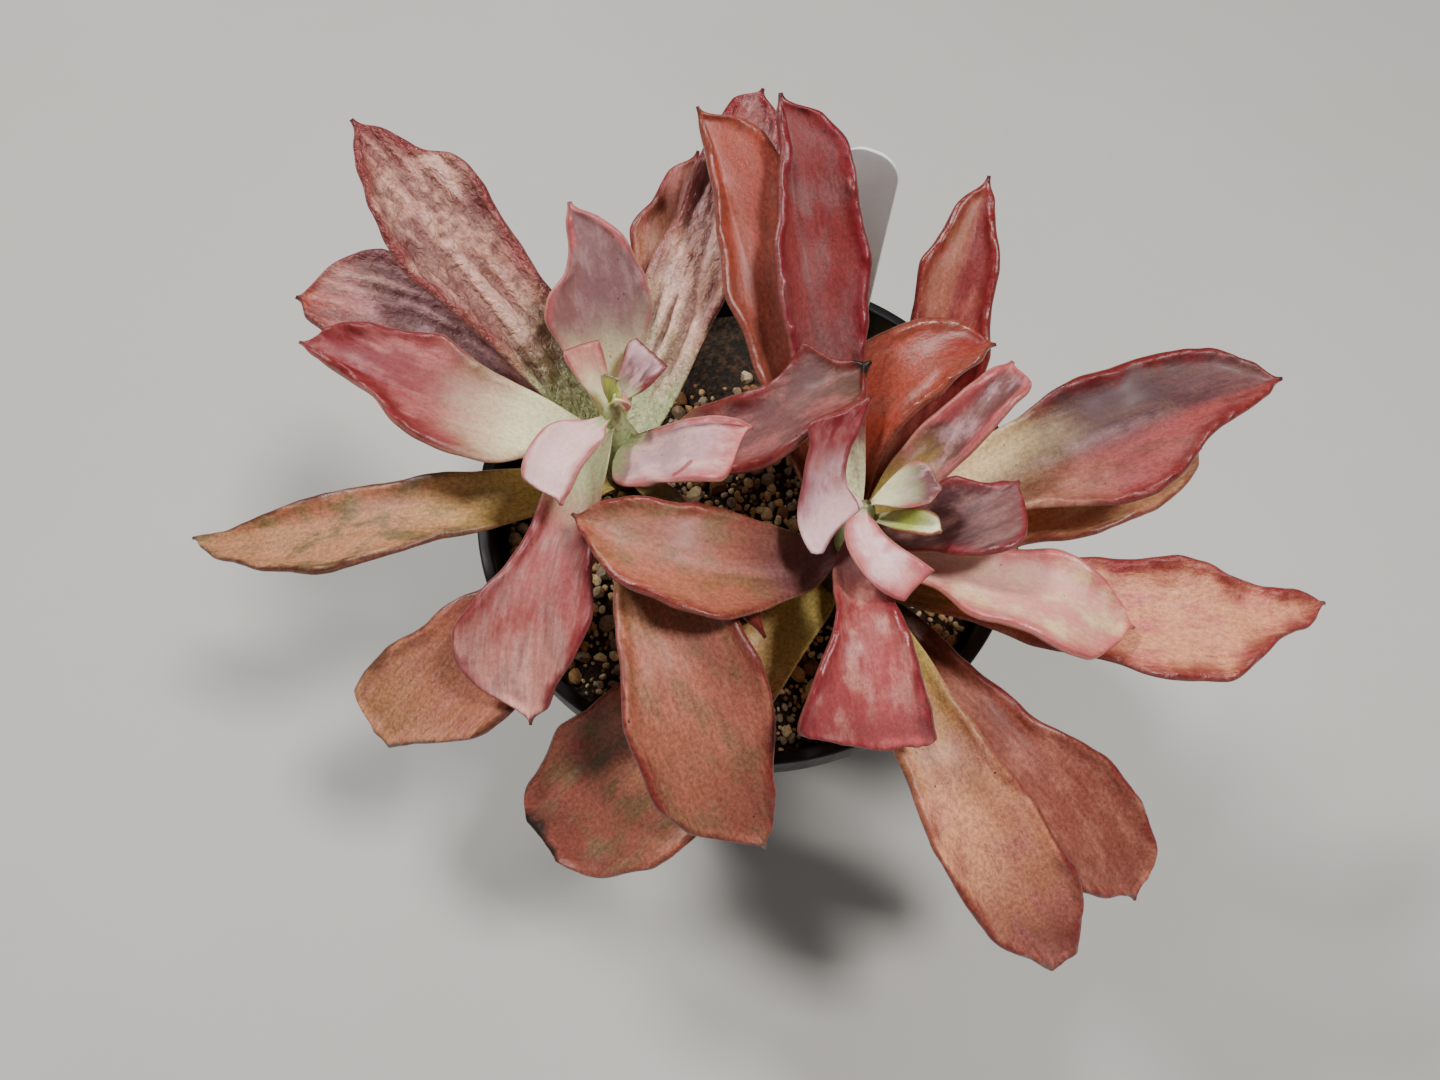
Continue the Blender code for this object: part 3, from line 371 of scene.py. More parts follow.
RIGHT_LEAVES = [
    Leaf(1, 112.5, 97, (155, 184, 208),
        ((0.2, 7, 6), (0.33, 8.5, 6.5), (0.55, 8.5, 8.5), (0.7, 6, 11.5), (0.8, 3, 14), (0.88, 2, 12.5),
        (0.95, 1.5, 8)),
        Skin(BROWN, BRONZE, CORAL, BRONZE, "bronze_leaf", 0.2, 0.6, CORAL, 0.5, 3.0, 0.05, rough=0.32,
        swell=1.0), fold=(20, 20)),
    Leaf(2, 102, 88, (163, 189, 216),
        ((0.3, 9, 9), (0.53, 10.5, 13), (0.64, 11.5, 14.5), (0.73, 7, 14.5), (0.85, 3, 13), (0.94, 2, 9)),
        Skin(CREAM_GREEN, MAUVE, RED, MAGENTA, "bronze_leaf", 0.24, 0.4, MAUVE, 0.4, 3.0, 0.05,
        half=(ROSE, 0.4), knobs=0.5, swell=1.0), fold=(50, 25), wave=(0.8, 2.4, 0.1)),
    Leaf(3, 50, 54, (146, 176, 181), ((0.3, 9, 6), (0.5, 13, 8), (0.7, 11, 9), (0.87, 7, 6)),
        Skin(BRONZE, CORAL, RED, BRONZE, "bronze_leaf", 0.2, 0.8, BRONZE, 0.5, 3.0, 0.05,
        half=(CORAL, -0.5), rough=0.22, swell=1.1, knobs=0.4), bow=10, stand=1.5),
    Leaf(4, 67, 86, (138, 172, 196),
        ((0.3, 7, 8), (0.55, 8.5, 13), (0.63, 9.5, 11), (0.73, 10.5, 9.5), (0.8, 8, 8), (0.9, 6, 4)),
        Skin(BRONZE, RED, RED, RED, "bronze_leaf", 0.32, 0.6, CORAL, 0.35, 3.0, 0.1, half=(TAN, 0.4),
        rough=0.33), bow=-3, wave=(0.6, 2, 0.2)),
    Leaf(5, 42, 47, (157.8, 184, 190), ((0.3, 7, 7), (0.6, 6, 8), (0.8, 4, 9), (0.92, 2.5, 6)),
        Skin(YELLOW_OLIVE, MAUVE, MAUVE, PINK, "mauve_leaf", 0.4, 0.6, LILAC, 0.45, 3.0, 0.3, pale_line=0.3,
        mottle=0.5), bow=-2, fold=(50, 50), foot_turn=6, foot=(3.8, 3.8)),
    Leaf(6, 18, 107, (152, 176, 180),
        ((0.26, 10, 9), (0.4, 13, 13.5), (0.56, 15.5, 19), (0.66, 15.5, 16), (0.75, 14, 10.5),
        (0.85, 12.5, 6.5), (0.93, 7, 4)),
        Skin(CREAM, PLUM, MAUVE, RED, "mauve_leaf", 0.42, 0.8, BROWN, 0.35, 3.0, 0.06, half=(ROSE, -0.9),
        swell=1.1, crease=0.3, knobs=0.5), wave=(0.8, 2, 0.3)),
    # Leaf 7's pale sand and cream skin is painted light, where leaf 6 shades it.
    Leaf(7, 16, 96, (130, 157, 156),
        ((0.3, 8, 6.5), (0.4, 10, 8), (0.6, 13, 12), (0.72, 13, 12), (0.84, 11, 8.5), (0.93, 7, 5)),
        Skin(SAND, SAND, TAN, BRONZE, "bronze_leaf", 0.32, 0.6, CREAM, 0.3, 1.8, 0.1), bow=-4,
        wave=(0.6, 2.2, 0.6)),
    Leaf(8, 352, 114, (144, 166, 158),
        ((0.3, 9, 9), (0.45, 12, 13), (0.6, 12, 17.5), (0.7, 11.5, 18), (0.77, 8.5, 12.5), (0.83, 6, 8.5),
        (0.92, 4, 5.5)),
        Skin(OLIVE, SAND, SAND, MAGENTA, "rose_leaf", 0.3, 0.74, PINK, 0.45, 4.4, 0.15, wrinkles=0.2,
        knobs=0.7, swell=1.1), bow=-11, wave=(1.3, 3.2, 0.2)),
    Leaf(9, 337, 66, (158.8, 179.7, 170),
        ((0.25, 6.5, 7), (0.45, 7.5, 12), (0.65, 9.5, 14), (0.8, 8, 12), (0.92, 4, 6)),
        Skin(CREAM_GREEN, BLOOM_AND_SHEEN_WHITE, PALE_ROSE, PINK, "lilac_leaf", 0.2, 0.4, CREAM, 0.65, 4.0, 0.3,
        half=(PINK, -0.35), rough=0.3, pale_line=0.4, mottle=0.3), bow=-3, wave=(1, 2.4, 0.5)),
    Leaf(10, 5, 34, (167, 185, 187),
        ((0.3, 6.5, 7), (0.45, 8.5, 10), (0.55, 8, 12.5), (0.65, 5.8, 13.6), (0.73, 4, 12.6), (0.8, 3, 9.5),
        (0.87, 2.4, 5.8), (0.94, 1.4, 2.6)),
        Skin(MAUVE, PLUM, MAUVE, MAGENTA, "mauve_leaf", 0.15, 0.6, MAUVE, 0.6, 1.8, 0.2, specks=0.8,
        swell=0.5, mottle=0.5), bow=-4, thick=3.2, stand=1.1),
    Leaf(11, 273, 53, (162, 185, 168),
        ((0.25, 7.5, 5), (0.4, 8, 5.5), (0.55, 9, 8), (0.7, 10, 12.5), (0.85, 11, 17), (0.92, 11.5, 9.5),
        (0.97, 12, 4)),
        Skin(MAUVE, ROSE, PINK, MAGENTA, "bronze_leaf", 0.35, 0.65, PALE_ROSE, 0.3, 3.0, 0.15,
        half=(RED, -0.4), rough=0.3, knobs=0.7, mottle=0.5), tip=(10, 0.6), bow=-3, wave=(0.8, 2, 0.2),
        stand=0.3, climb=12.0),
    Leaf(12, 298, 107, (149, 158, 124),
        ((0.28, 7.5, 9), (0.46, 9.5, 10.5), (0.57, 11, 12.5), (0.7, 12.5, 13.5), (0.82, 13, 12),
        (0.89, 11.5, 9.5), (0.94, 8, 7)),
        Skin(YELLOW_OLIVE, SAND, BRONZE, RED, "bronze_leaf", 0.5, 0.75, ROSE, 0.35, 2.0, 0.2,
        half=(RED, 0.35), specks=1.0, mottle=0.9), tip=(4, 3.5), bow=-7, fold=(18, 8), wave=(1, 2.2, 0.4)),
    Leaf(13, 312, 108, (137, 150, 118),
        ((0.3, 5, 8), (0.5, 7, 11), (0.65, 12, 13), (0.8, 15, 14), (0.91, 13, 8), (0.96, 9, 2.5)),
        Skin(BROWN, BRONZE, BRONZE, RED, "bronze_leaf", 0.32, 0.6, COPPER, 0.4, 1.6, 0.12, mottle=0.9),
        bow=-3, wave=(0.8, 2.4, 0.8)),
    Leaf(14, 182.2, 65, (153, 183, 180),
        ((0.15, 6, 9.5), (0.34, 10, 11.5), (0.48, 15, 13), (0.56, 14, 13), (0.65, 11, 12), (0.78, 8.5, 10),
        (0.9, 5, 6)),
        Skin(MAUVE, COPPER, COPPER, RED, "bronze_leaf", 0.36, 0.6, OLIVE, 0.4, 1.6, 0.05,
        half=(MAUVE, -0.3), rough=0.34, crease=0.2), bow=12, wave=(0.6, 2, 0.3), stand=1.3, climb=9.0),
    Leaf(15, 222, 101, (136, 146, 118),
        ((0.3, 9, 9), (0.5, 15, 15), (0.65, 21, 19), (0.78, 21, 20.5), (0.88, 17, 18), (0.95, 12, 15)),
        Skin(YELLOW_OLIVE, SAND, BRONZE, BRONZE, "bronze_leaf", 0.4, 0.62, OLIVE, 0.5, 3.0, 0.15, swell=1.4,
        dry_from=0.97, rough=0.33, mottle=0.9), tip=(4, 8), bow=5, fold=(8, 8), wave=(1.2, 2.6, 0.1)),
    Leaf(16, 353.6, 14.4, (183, 191, 194), ((0.5, 7, 4.5), (0.85, 4.5, 3.5)),
        Skin(CREAM_GREEN, PALE_GREEN, MAUVE, PINK, "green_leaf", 0.4, 0.5, LILAC, 0.5, 0.8, 0.25,
        specks=0.2, swell=0.3, pale_line=0.4, mottle=0.3), foot=(3.5, 3), thick=2.6),
    Leaf(17, 327.7, 18, (176, 186, 188), ((0.5, 3.5, 3.5), (0.85, 2.5, 2.5)),
        Skin(PALE_GREEN, LIME, CREAM_GREEN, CORAL, "green_leaf", 0.32, 0.6, TAN, 0.0, 0.6, 0.2, specks=0.0,
        swell=0.1, mottle=0.3), foot=(3, 3), thick=2.4),
    Leaf(18, 92, 17, (182.5, 191.5, 200),
        ((0.08, 9, 1.6), (0.25, 9.5, 1.4), (0.45, 8, 1.2), (0.6, 7.8, 1.2), (0.7, 9.4, 1.4), (0.76, 7, 1.4),
        (0.84, 3.2, 1.2), (0.93, 1.4, 0.9)),
        Skin(PALE_LILAC, LILAC, MAGENTA, MAGENTA, "rose_leaf", 0.3, 0.5, ROSE, 0.4, 1.8, 0.3, specks=0.3,
        swell=0.3, mottle=0.3), foot=(7, 1.5), bow=3, thick=2.8, fold=(6, 20), roll=(10, 5, 0),
        foot_turn=84, stand=2.5, sweep=0.85),
    Leaf(19, 290, 24, (182, 190, 188),
        ((0.08, 1.6, 5.8), (0.2, 2.4, 8), (0.42, 3.5, 7.5), (0.75, 4.7, 6), (0.9, 5.4, 4.6)),
        Skin(PALE_GREEN, PALE_LILAC, PINK, PINK, "lilac_leaf", 0.12, 0.8, PALE_ROSE, 0.4, 3.0, 0.2,
        specks=0.2, swell=0.4, pale_line=0.4, mottle=0.3), tip=(5.8, 3.2), bow=-2.5, thick=2.8,
        foot_turn=-22, stand=1.5, foot=(2, 4.5)),
]

for side, stem, leaves in (("left", LEFT_STEM, LEFT_LEAVES), ("right", RIGHT_STEM, RIGHT_LEAVES)):
    for leaf in leaves:
        leaf.stem, leaf.name = stem, f"{side}_leaf_{leaf.number:02d}"


def linear(colour):
    """Blender's linear colour from one given as 0 to 255 on screen, deepened because the view pales it."""
    return [min(1.0, 1.15 * (level / 255) ** 2.65) for level in colour] + [1.0]


@dataclass
class Wire:
    """A node's output. Arithmetic with it makes math nodes in the same material."""

    shade: "Shading"
    socket: bpy.types.NodeSocket

    def __add__(self, other):
        return self.shade.math("ADD", self, other)

    def __sub__(self, other):
        return self.shade.math("SUBTRACT", self, other)

    def __mul__(self, other):
        return self.shade.math("MULTIPLY", self, other)


class Shading:
    """A new material's nodes, made by short calls. An input is a value, a colour or a wire."""

    def __init__(self, name, colour):
        self.colour = colour
        self.material = bpy.data.materials.new(name)
        self.material.use_nodes = True
        self.tree = self.material.node_tree
        self.surface = self.tree.nodes["Principled BSDF"]

    def node(self, kind, **settings):
        made = self.tree.nodes.new("ShaderNode" + kind)
        for name, value in settings.items():
            setattr(made, name, value)
        return made

    def put(self, socket, value):
        if isinstance(value, Wire):
            self.tree.links.new(value.socket, socket)
        elif isinstance(value, tuple) and len(value) == 3 and socket.type == "RGBA":
            socket.default_value = linear(value)
        else:
            socket.default_value = value

    def wired(self, node, output, **inputs):
        """The node's output, once its inputs are set, which are named with _ for a space."""
        for name, value in inputs.items():
            self.put(node.inputs[name.replace("_", " ")], value)
        return Wire(self, node.outputs[output])

    def attribute(self, name, output="Fac"):
        return self.wired(self.node("Attribute", attribute_name=name), output)

    def object_place(self):
        return self.wired(self.node("TexCoord"), "Object")

    def scaled(self, vector, factors):
        node = self.node("VectorMath", operation="MULTIPLY")
        self.put(node.inputs[0], vector)
        self.put(node.inputs[1], factors)
        return Wire(self, node.outputs["Vector"])

    def noise(self, vector, scale=1.0, detail=2.0, roughness=0.5, distortion=0.0):
        """Noise over the vector. A scale of three numbers has one for each axis."""
        if isinstance(scale, tuple):
            vector, scale = self.scaled(vector, scale), 1.0
        return self.wired(self.node("TexNoise"), "Fac", Vector=vector, Scale=scale, Detail=detail,
                          Roughness=roughness, Distortion=distortion)

    def cells(self, vector, scale=1.0):
        """Distance to the nearest of scattered points."""
        return self.wired(self.node("TexVoronoi"), "Distance", Vector=vector, Scale=scale)

    def math(self, operation, first, second):
        node = self.node("Math", operation=operation)
        self.put(node.inputs[0], first)
        self.put(node.inputs[1], second)
        return Wire(self, node.outputs[0])

    def ramp(self, value, low, high, start=0.0, end=1.0):
        """Goes smoothly from start to end as the value goes from low to high."""
        node = self.node("MapRange", interpolation_type="SMOOTHSTEP")
        for socket, given in zip(node.inputs, (value, low, high, start, end)):
            self.put(socket, given)
        return Wire(self, node.outputs["Result"])

    def mix(self, share, first, second, blend="MIX"):
        node = self.node("Mix", data_type="RGBA", blend_type=blend)
        self.put(node.inputs["Factor"], share)
        self.put(node.inputs[6], first)
        self.put(node.inputs[7], second)
        return Wire(self, node.outputs[2])

    def cover(self, colour, share):
        """Lays the share of a colour over what is there."""
        self.colour = self.mix(share, self.colour, colour)

    def paint(self, colour, value, low, high, start=0.0, end=1.0):
        """Lays a colour over what is there, where its share is the ramp of the value."""
        self.cover(colour, self.ramp(value, low, high, start, end))

    def shadow(self, value, low, high, start, end):
        """Multiplies what is there by the ramp of the value."""
        self.colour = self.mix(1.0, self.colour, self.ramp(value, low, high, start, end), "MULTIPLY")

    def done(self, height, depth, **inputs):
        """The material, with its surface's inputs and a bump, as high as the depth in millimetres."""
        bump = self.wired(self.node("Bump"), "Normal", Strength=1.0, Distance=depth * MM, Height=height)
        self.wired(self.surface, "BSDF", Base_Color=self.colour, Normal=bump, **inputs)
        return self.material


def leaf_material(leaf):
    """Waxy leaf skin, which reads the leaf's own coordinates: its place in millimetres, the fraction of
    its length, its left or right half, the distance from its margin and how far a point stands out."""
    skin = leaf.skin
    shade = Shading(leaf.name, skin.blade)
    place = shade.attribute("place", "Vector")
    grown, side, rim, ridge = [shade.attribute(name) for name in ("grown", "side", "rim", "ridge")]
    size = min(1.0, 0.25 + leaf.reach / 80)

    # Noises from broad to fine, all drawn out along the leaf.
    broad = shade.noise(place, (0.06 / size, 0.03 / size, 1), detail=1)
    cloud = shade.noise(place, (0.17 / size, 0.085 / size, 1), detail=4, roughness=0.6)
    silk = shade.noise(place, (0.7, 0.09, 1), detail=4, roughness=0.62)
    grain = shade.noise(place, (1.1, 0.75, 1), detail=5, roughness=0.8)
    along = grown + (broad * 0.34 + silk * 0.2 + cloud * 0.16 - 0.35)

    shade.paint(skin.end, along, skin.end_from - 0.18, skin.end_from + 0.25)
    half_colour, half_share = skin.half
    if half_share:
        across = side * math.copysign(1, half_share) + cloud * 0.4
        shade.paint(half_colour, across, 0.12, 0.5, 0.0, abs(half_share))
    shade.paint(skin.patch, cloud, 0.46, 0.64, 0.0, min(1.0, skin.patches * 1.5))
    shade.paint(skin.foot, along, skin.foot_ends * 0.3, skin.foot_ends * 1.25, 1.0, 0.0)

    # The margin's colour reaches in by a breadth that changes slowly, darker along the edge itself.
    reaching = shade.noise(place, (0.02, 0.075 / size, 1))
    breadth = shade.ramp(reaching, 0.36, 0.64, skin.margin_reach * 0.5, skin.margin_reach * 2.4)
    ragged = rim + (silk - 0.5) * (3.0 * size)
    blush = shade.ramp(ragged, 0.0, breadth, 0.9, 0.0)
    grown_up = shade.ramp(along, skin.foot_ends * 0.4, skin.foot_ends * 1.5)
    shade.cover(skin.margin, blush * grown_up)
    # Painted highlight: a pale lilac line along the crest of the midrib's fold.
    if skin.crease:
        crest = shade.attribute("crest") * shade.ramp(cloud, 0.3, 0.55)
        shade.cover(PALE_LILAC, crest * (0.5 * skin.crease))
    shade.cover(DEEP_RED, shade.ramp(rim, 0.1, 0.9, 0.5, 0.0) * grown_up)
    shade.paint(PALE_ROSE, rim, 0.0, 0.5, skin.pale_line, 0.0)

    # Wax bloom lies in silky streaks. On the ridges the same pale colour is a painted highlight, and the
    # folds between them are darkened with painted shade.
    bloom_and_sheen = shade.ramp(silk, 0.2, 0.8) * shade.ramp(cloud, 0.36, 0.64, 0.1, 1.1) * (0.65 * skin.bloom_and_sheen)
    # Painted highlight: the pale colour laid on the raised ridges.
    bloom_and_sheen = bloom_and_sheen + shade.ramp(ridge, 0.03, 0.4, 0.0, 0.8 * skin.bloom_and_sheen)
    bloom_and_sheen = bloom_and_sheen * shade.ramp(ragged, 0.0, breadth, 0.15)
    shade.cover(BLOOM_AND_SHEEN_WHITE, bloom_and_sheen)
    # Painted shade: mauve laid in the sunken folds.
    shade.paint(MAUVE, ridge, -0.5, -0.05, 0.65, 0.0)

    # Mottling darkens and lightens what lies under it. Pores, spots, scars and a dry tip lie over it.
    mottle = skin.mottle
    shade.shadow(grain, 0.34, 0.66, 1 - 0.4 * mottle, 1 + 0.3 * mottle)
    shade.shadow(silk, 0.35, 0.65, 1 - 0.1 * mottle, 1 + 0.07 * mottle)
    pores = shade.cells(shade.scaled(place, (1.0, 0.8, 1)), 0.95)
    pore_mask = shade.ramp(pores, 0.1, 0.24, 1.0, 0.0) * shade.ramp(cloud, 0.42, 0.62) * (0.5 * skin.specks)
    shade.cover(PLUM, pore_mask)
    spots = shade.cells(shade.scaled(place, (0.16, 0.12, 1)))
    shade.paint(DRY_BROWN, spots, 0.03, 0.055, 0.8 * min(1.0, skin.specks), 0.0)
    if skin.scars:
        shade.paint(skin.scar, shade.attribute("scar") + grain * 0.8, 0.85, 1.2, 0.0, 0.85)
    shade.paint(BARK_DARK, grown, 0.975, 0.998, 0.0, 0.6)
    if skin.dry_from < 1:
        dry = grown + (cloud - 0.5) * 0.12
        shade.paint(DRY_BROWN, dry, skin.dry_from - 0.02, skin.dry_from + 0.02)
    matt = grain * 0.3 + bloom_and_sheen * 0.15 + shade.ramp(rim, 0.8, 2.6, skin.rough - 0.24, skin.rough - 0.04)

    fine = shade.noise(place, (3.4, 2.6, 1), roughness=0.6)
    crinkle = shade.noise(place, (0.75, 0.4, 1), detail=3, roughness=0.6, distortion=0.6)
    height = grain * 0.2 + fine * 0.1 + silk * 0.05 + crinkle * (0.2 + 6.0 * skin.wrinkles)
    return shade.done(
        height - pore_mask * 0.12, 0.4, Roughness=matt, Specular_IOR_Level=0.42, Coat_Weight=0.03,
        Coat_Roughness=0.2, Subsurface_Weight=0.12, Subsurface_Radius=(1.0, 0.45, 0.3),
        Subsurface_Scale=1.6 * MM,
    )


def smooth_through(stations, values, at):
    """A smooth curve through the values at the stations, which never overshoots them."""
    x, y = np.asarray(stations, float), np.asarray(values, float)
    step = np.diff(x)
    slope = np.diff(y) / step
    tangent = np.zeros_like(y)
    tangent[0], tangent[-1] = slope[0], slope[-1]
    for k in range(1, len(x) - 1):
        if slope[k - 1] * slope[k] > 0:
            near, far = 2 * step[k] + step[k - 1], step[k] + 2 * step[k - 1]
            tangent[k] = (near + far) / (near / slope[k - 1] + far / slope[k])
    k = np.clip(np.searchsorted(x, at, side="right") - 1, 0, len(x) - 2)
    t = (at - x[k]) / step[k]
    return (
        (1 + 2 * t) * (1 - t) ** 2 * y[k]
        + t * (1 - t) ** 2 * step[k] * tangent[k]
        + t * t * (3 - 2 * t) * y[k + 1]
        + t * t * (t - 1) * step[k] * tangent[k + 1]
    )


def unit(vectors):
    return vectors / np.linalg.norm(vectors, axis=-1, keepdims=True)


def level(turn):
    """The level direction at an angle in radians, anticlockwise from +X."""
    return np.array([math.cos(turn), math.sin(turn), 0.0])


def eased(value, low, high):
    """Goes smoothly from 0 to 1 as the value goes from low to high."""
    t = np.clip((value - low) / (high - low), 0, 1)
    return t * t * (3 - 2 * t)


def hump(distance, width):
    """1 at no distance, falling smoothly to 0 over the width."""
    return np.exp(-((distance / width) ** 2))


def noise_over(x, y, across, along, seed):
    """Smooth noise from about -1 to 1, with features of the given sizes in millimetres."""
    x, y = np.broadcast_arrays(x, y)
    values = [noise.noise((a, b, seed)) for a, b in zip((x / across).flat, (y / along).flat)]
    return np.array(values).reshape(x.shape)


def midrib(leaf, s):
    """Points of the midrib at the fractions s, and the leaf's own left and up directions there."""
    turn = math.radians(leaf.turn)
    left = level(turn + math.pi / 2)
    foot_z, crown_z, tip_z = leaf.heights
    off_axis = leaf.stem.radius(foot_z) + FOOT_GAP + leaf.stand
    foot_angle = turn + math.atan2(4 * leaf.bow, leaf.reach) + math.radians(leaf.foot_turn)
    base = leaf.stem.at(foot_z)
    foot = base + level(foot_angle) * off_axis
    tip = base + level(turn) * leaf.reach + [0, 0, tip_z - foot_z]
    middle = (foot + tip) / 2 + left * leaf.bow
    middle[2] = crown_z
    handle = 2 * middle - (foot + tip) / 2
    s = s[:, None]
    points = (1 - s) ** 2 * foot + 2 * s * (1 - s) * handle + s * s * tip
    forward = unit((1 - s) * (handle - foot) + s * (tip - handle))
    side = unit(left - forward * (forward @ left)[:, None])
    up = np.cross(forward, side)
    roll = np.radians(np.interp(s, (0, 0.35, 1), leaf.roll))
    return points, side * np.cos(roll) + up * np.sin(roll), up * np.cos(roll) - side * np.sin(roll)


def running_sum(values, at):
    """The integral of each row of values from its first column to each of the others."""
    steps = (values[:, 1:] + values[:, :-1]) / 2 * np.diff(at)
    return np.concatenate([np.zeros((len(values), 1)), np.cumsum(steps, axis=1)], axis=1)


def leaf_sheets(leaf, seed):
    """The leaf's upper and lower faces, as grids of points from foot to tip and from right to left,
    with what its material reads."""
    skin = leaf.skin
    coarse = midrib(leaf, np.linspace(0, 1, 40))[0]
    length = np.linalg.norm(np.diff(coarse, axis=0), axis=1).sum()
    rows = max(FEWEST_ROWS, round(length / ROW_STEP))
    s = 1 - (1 - np.linspace(0, 1, rows + 1)) ** 1.25
    points, side, up = midrib(leaf, s)
    along = np.concatenate([[0], np.cumsum(np.linalg.norm(np.diff(points, axis=0), axis=1))])
    outline = np.array([(0, *leaf.foot), *leaf.outline, (1, *leaf.tip)], float)
    fold_grown = eased(s, 0, 0.4)
    flatter = 1 - 0.5 * np.clip((s - 0.75) / 0.25, 0, 1)
    thick = leaf.thick * (1 - 0.45 * s**0.8)
    amount, count, phase = leaf.wave
    waved = np.clip(np.sin(math.pi * np.clip(s * 1.05 - 0.05, 0, 1)), 0, 1) ** 0.7
    small = min(1.0, leaf.reach / 60)
    v = 1 - (1 - np.linspace(0, 1, HALF_COLUMNS + 1)) ** 1.6
    bend = np.sin(math.pi / 2 * np.clip(v / 0.6, 0, 1))

    halves = []
    for sign, column, later in ((-1, 2, 0.37), (1, 1, 0.0)):
        half_width = smooth_through(outline[:, 0], outline[:, column], s)
        lobes = LOBES * noise_over(along, 0 * along, 13, 1, seed + 5.3 * sign)
        lobes += SMALL_LOBES * noise_over(along, 0 * along, 4.6, 1, seed + 8.9 * sign)
        half_width = half_width + small * lobes * eased(s, 0.18, 0.4) * (1 - eased(s, 0.9, 0.99))
        if leaf.tip[0] < 1 and leaf.tip[1] < 1:
            half_width = 0.4 + (half_width - 0.4) * eased(length - along, -0.6, 1.5 + 4.5 * small)
        fold = leaf.fold[column - 1]
        slope = (np.radians(FOOT_FOLD + (fold - FOOT_FOLD) * fold_grown) * flatter)[:, None] * bend
        ripple = amount * waved * np.sin(2 * math.pi * (count * s + (phase + later)))
        x = half_width[:, None] * running_sum(np.cos(slope), v)
        rise = half_width[:, None] * running_sum(np.sin(slope), v) + ripple[:, None] * v**2
        face = points[:, None] + side[:, None] * (sign * x)[..., None] + up[:, None] * rise[..., None]
        tilted = up[:, None] * np.cos(slope)[..., None] - side[:, None] * (sign * np.sin(slope))[..., None]
        depth = EDGE_THICK + (thick[:, None] - EDGE_THICK) * (1 - v**2.5) ** 0.8
        depth = np.minimum(depth, 0.5 + 0.9 * half_width[:, None])
        rim = (1 - v) * half_width[:, None]
        place = sign * v * half_width[:, None]
        numbers = np.stack([depth, rim, place, sign * v + 0 * rim], axis=-1)
        sheet = np.concatenate([face, tilted, numbers], axis=-1)
        halves.append(sheet[:, ::-1] if sign < 0 else sheet[:, 1:])
    sheet = np.concatenate(halves, axis=1)
    face, tilted = sheet[..., :3], sheet[..., 3:6]
    depth, rim, x, across = np.moveaxis(sheet[..., 6:], -1, 0)
    y = np.broadcast_to(along[:, None], x.shape)
    grown = np.broadcast_to(s[:, None], x.shape)

    # The edge and the tip are rounded off, behind a slightly swollen rim.
    to_tip = length - y
    edge_round = 0.55 * np.minimum(1, depth)
    lateral = np.clip(rim / edge_round, 0, 1)
    ahead = np.clip(to_tip / (edge_round * 1.6), 0, 1)
    closing = np.sqrt(1 - (1 - lateral) ** 2) * np.sqrt(1 - (1 - ahead) ** 2)
    nearest = np.minimum(rim, to_tip)
    roll = RIM_ROLL * hump(nearest - 1.4, 1.2) - RIM_DIP * hump(nearest - 5.0, 2.2)
    bead = RIM_BEAD * small * hump(nearest - 1.1, 1.0) * eased(grown, 0.1, 0.35)

    away = eased(nearest, 0.8, 4.5) * eased(grown, 0.02, 0.2)
    swell = SWELL * skin.swell * noise_over(x, y, 16, 22, seed) * eased(grown, 0.05, 0.3)
    swell += SMALL_SWELL * skin.swell * noise_over(x, y, 7, 10, seed + 3.1) * eased(grown, 0.1, 0.3)
    groove = skin.grooves * np.minimum(0.7, np.abs(noise_over(x, y, 3.8, 30, seed + 7.7)) * 3.2 - 0.8)
    groove = groove * eased(noise_over(x, y, 9, 14, seed + 41.3), -0.5, 0.3)
    pleats = np.abs(noise_over(x, y, 3.6, 5, seed + 17.3))
    wrinkle = skin.wrinkles * (noise_over(x, y, 2.2, 3.0, seed + 11.9) - pleats)
    knob_noise = np.maximum(0, noise_over(x, y, 3.2, 3.6, seed + 23.1)) * 2.4
    knob = skin.knobs * knob_noise * hump(nearest - 1.3, 1.5) * eased(grown, 0.2, 0.45)
    folds = (groove + wrinkle) * away * (1 - eased(grown, 0.72, 0.98) * 0.6)
    relief = folds + knob
    crest = hump(x + skin.drift * y, 1.7) * eased(grown, 0.05, 0.25) * (1 - eased(grown, 0.55, 0.8))
    lifted = small * roll * (0.55 + 0.45 * noise_over(x, y, 40, 9, seed + 53.9)) * eased(grown, 0.12, 0.4)
    swell = swell + 1.1 * skin.crease * crest + lifted
    under_relief = 0.5 * skin.grooves * noise_over(x, y, 3, 24, seed + 31.7) * away

    depth = depth + bead
    middle = face - tilted * (depth / 2)[..., None] + tilted * swell[..., None]
    half = depth / 2 * closing
    upper = middle + tilted * (half + relief * closing)[..., None]
    lower = middle - tilted * (half + under_relief * closing)[..., None]

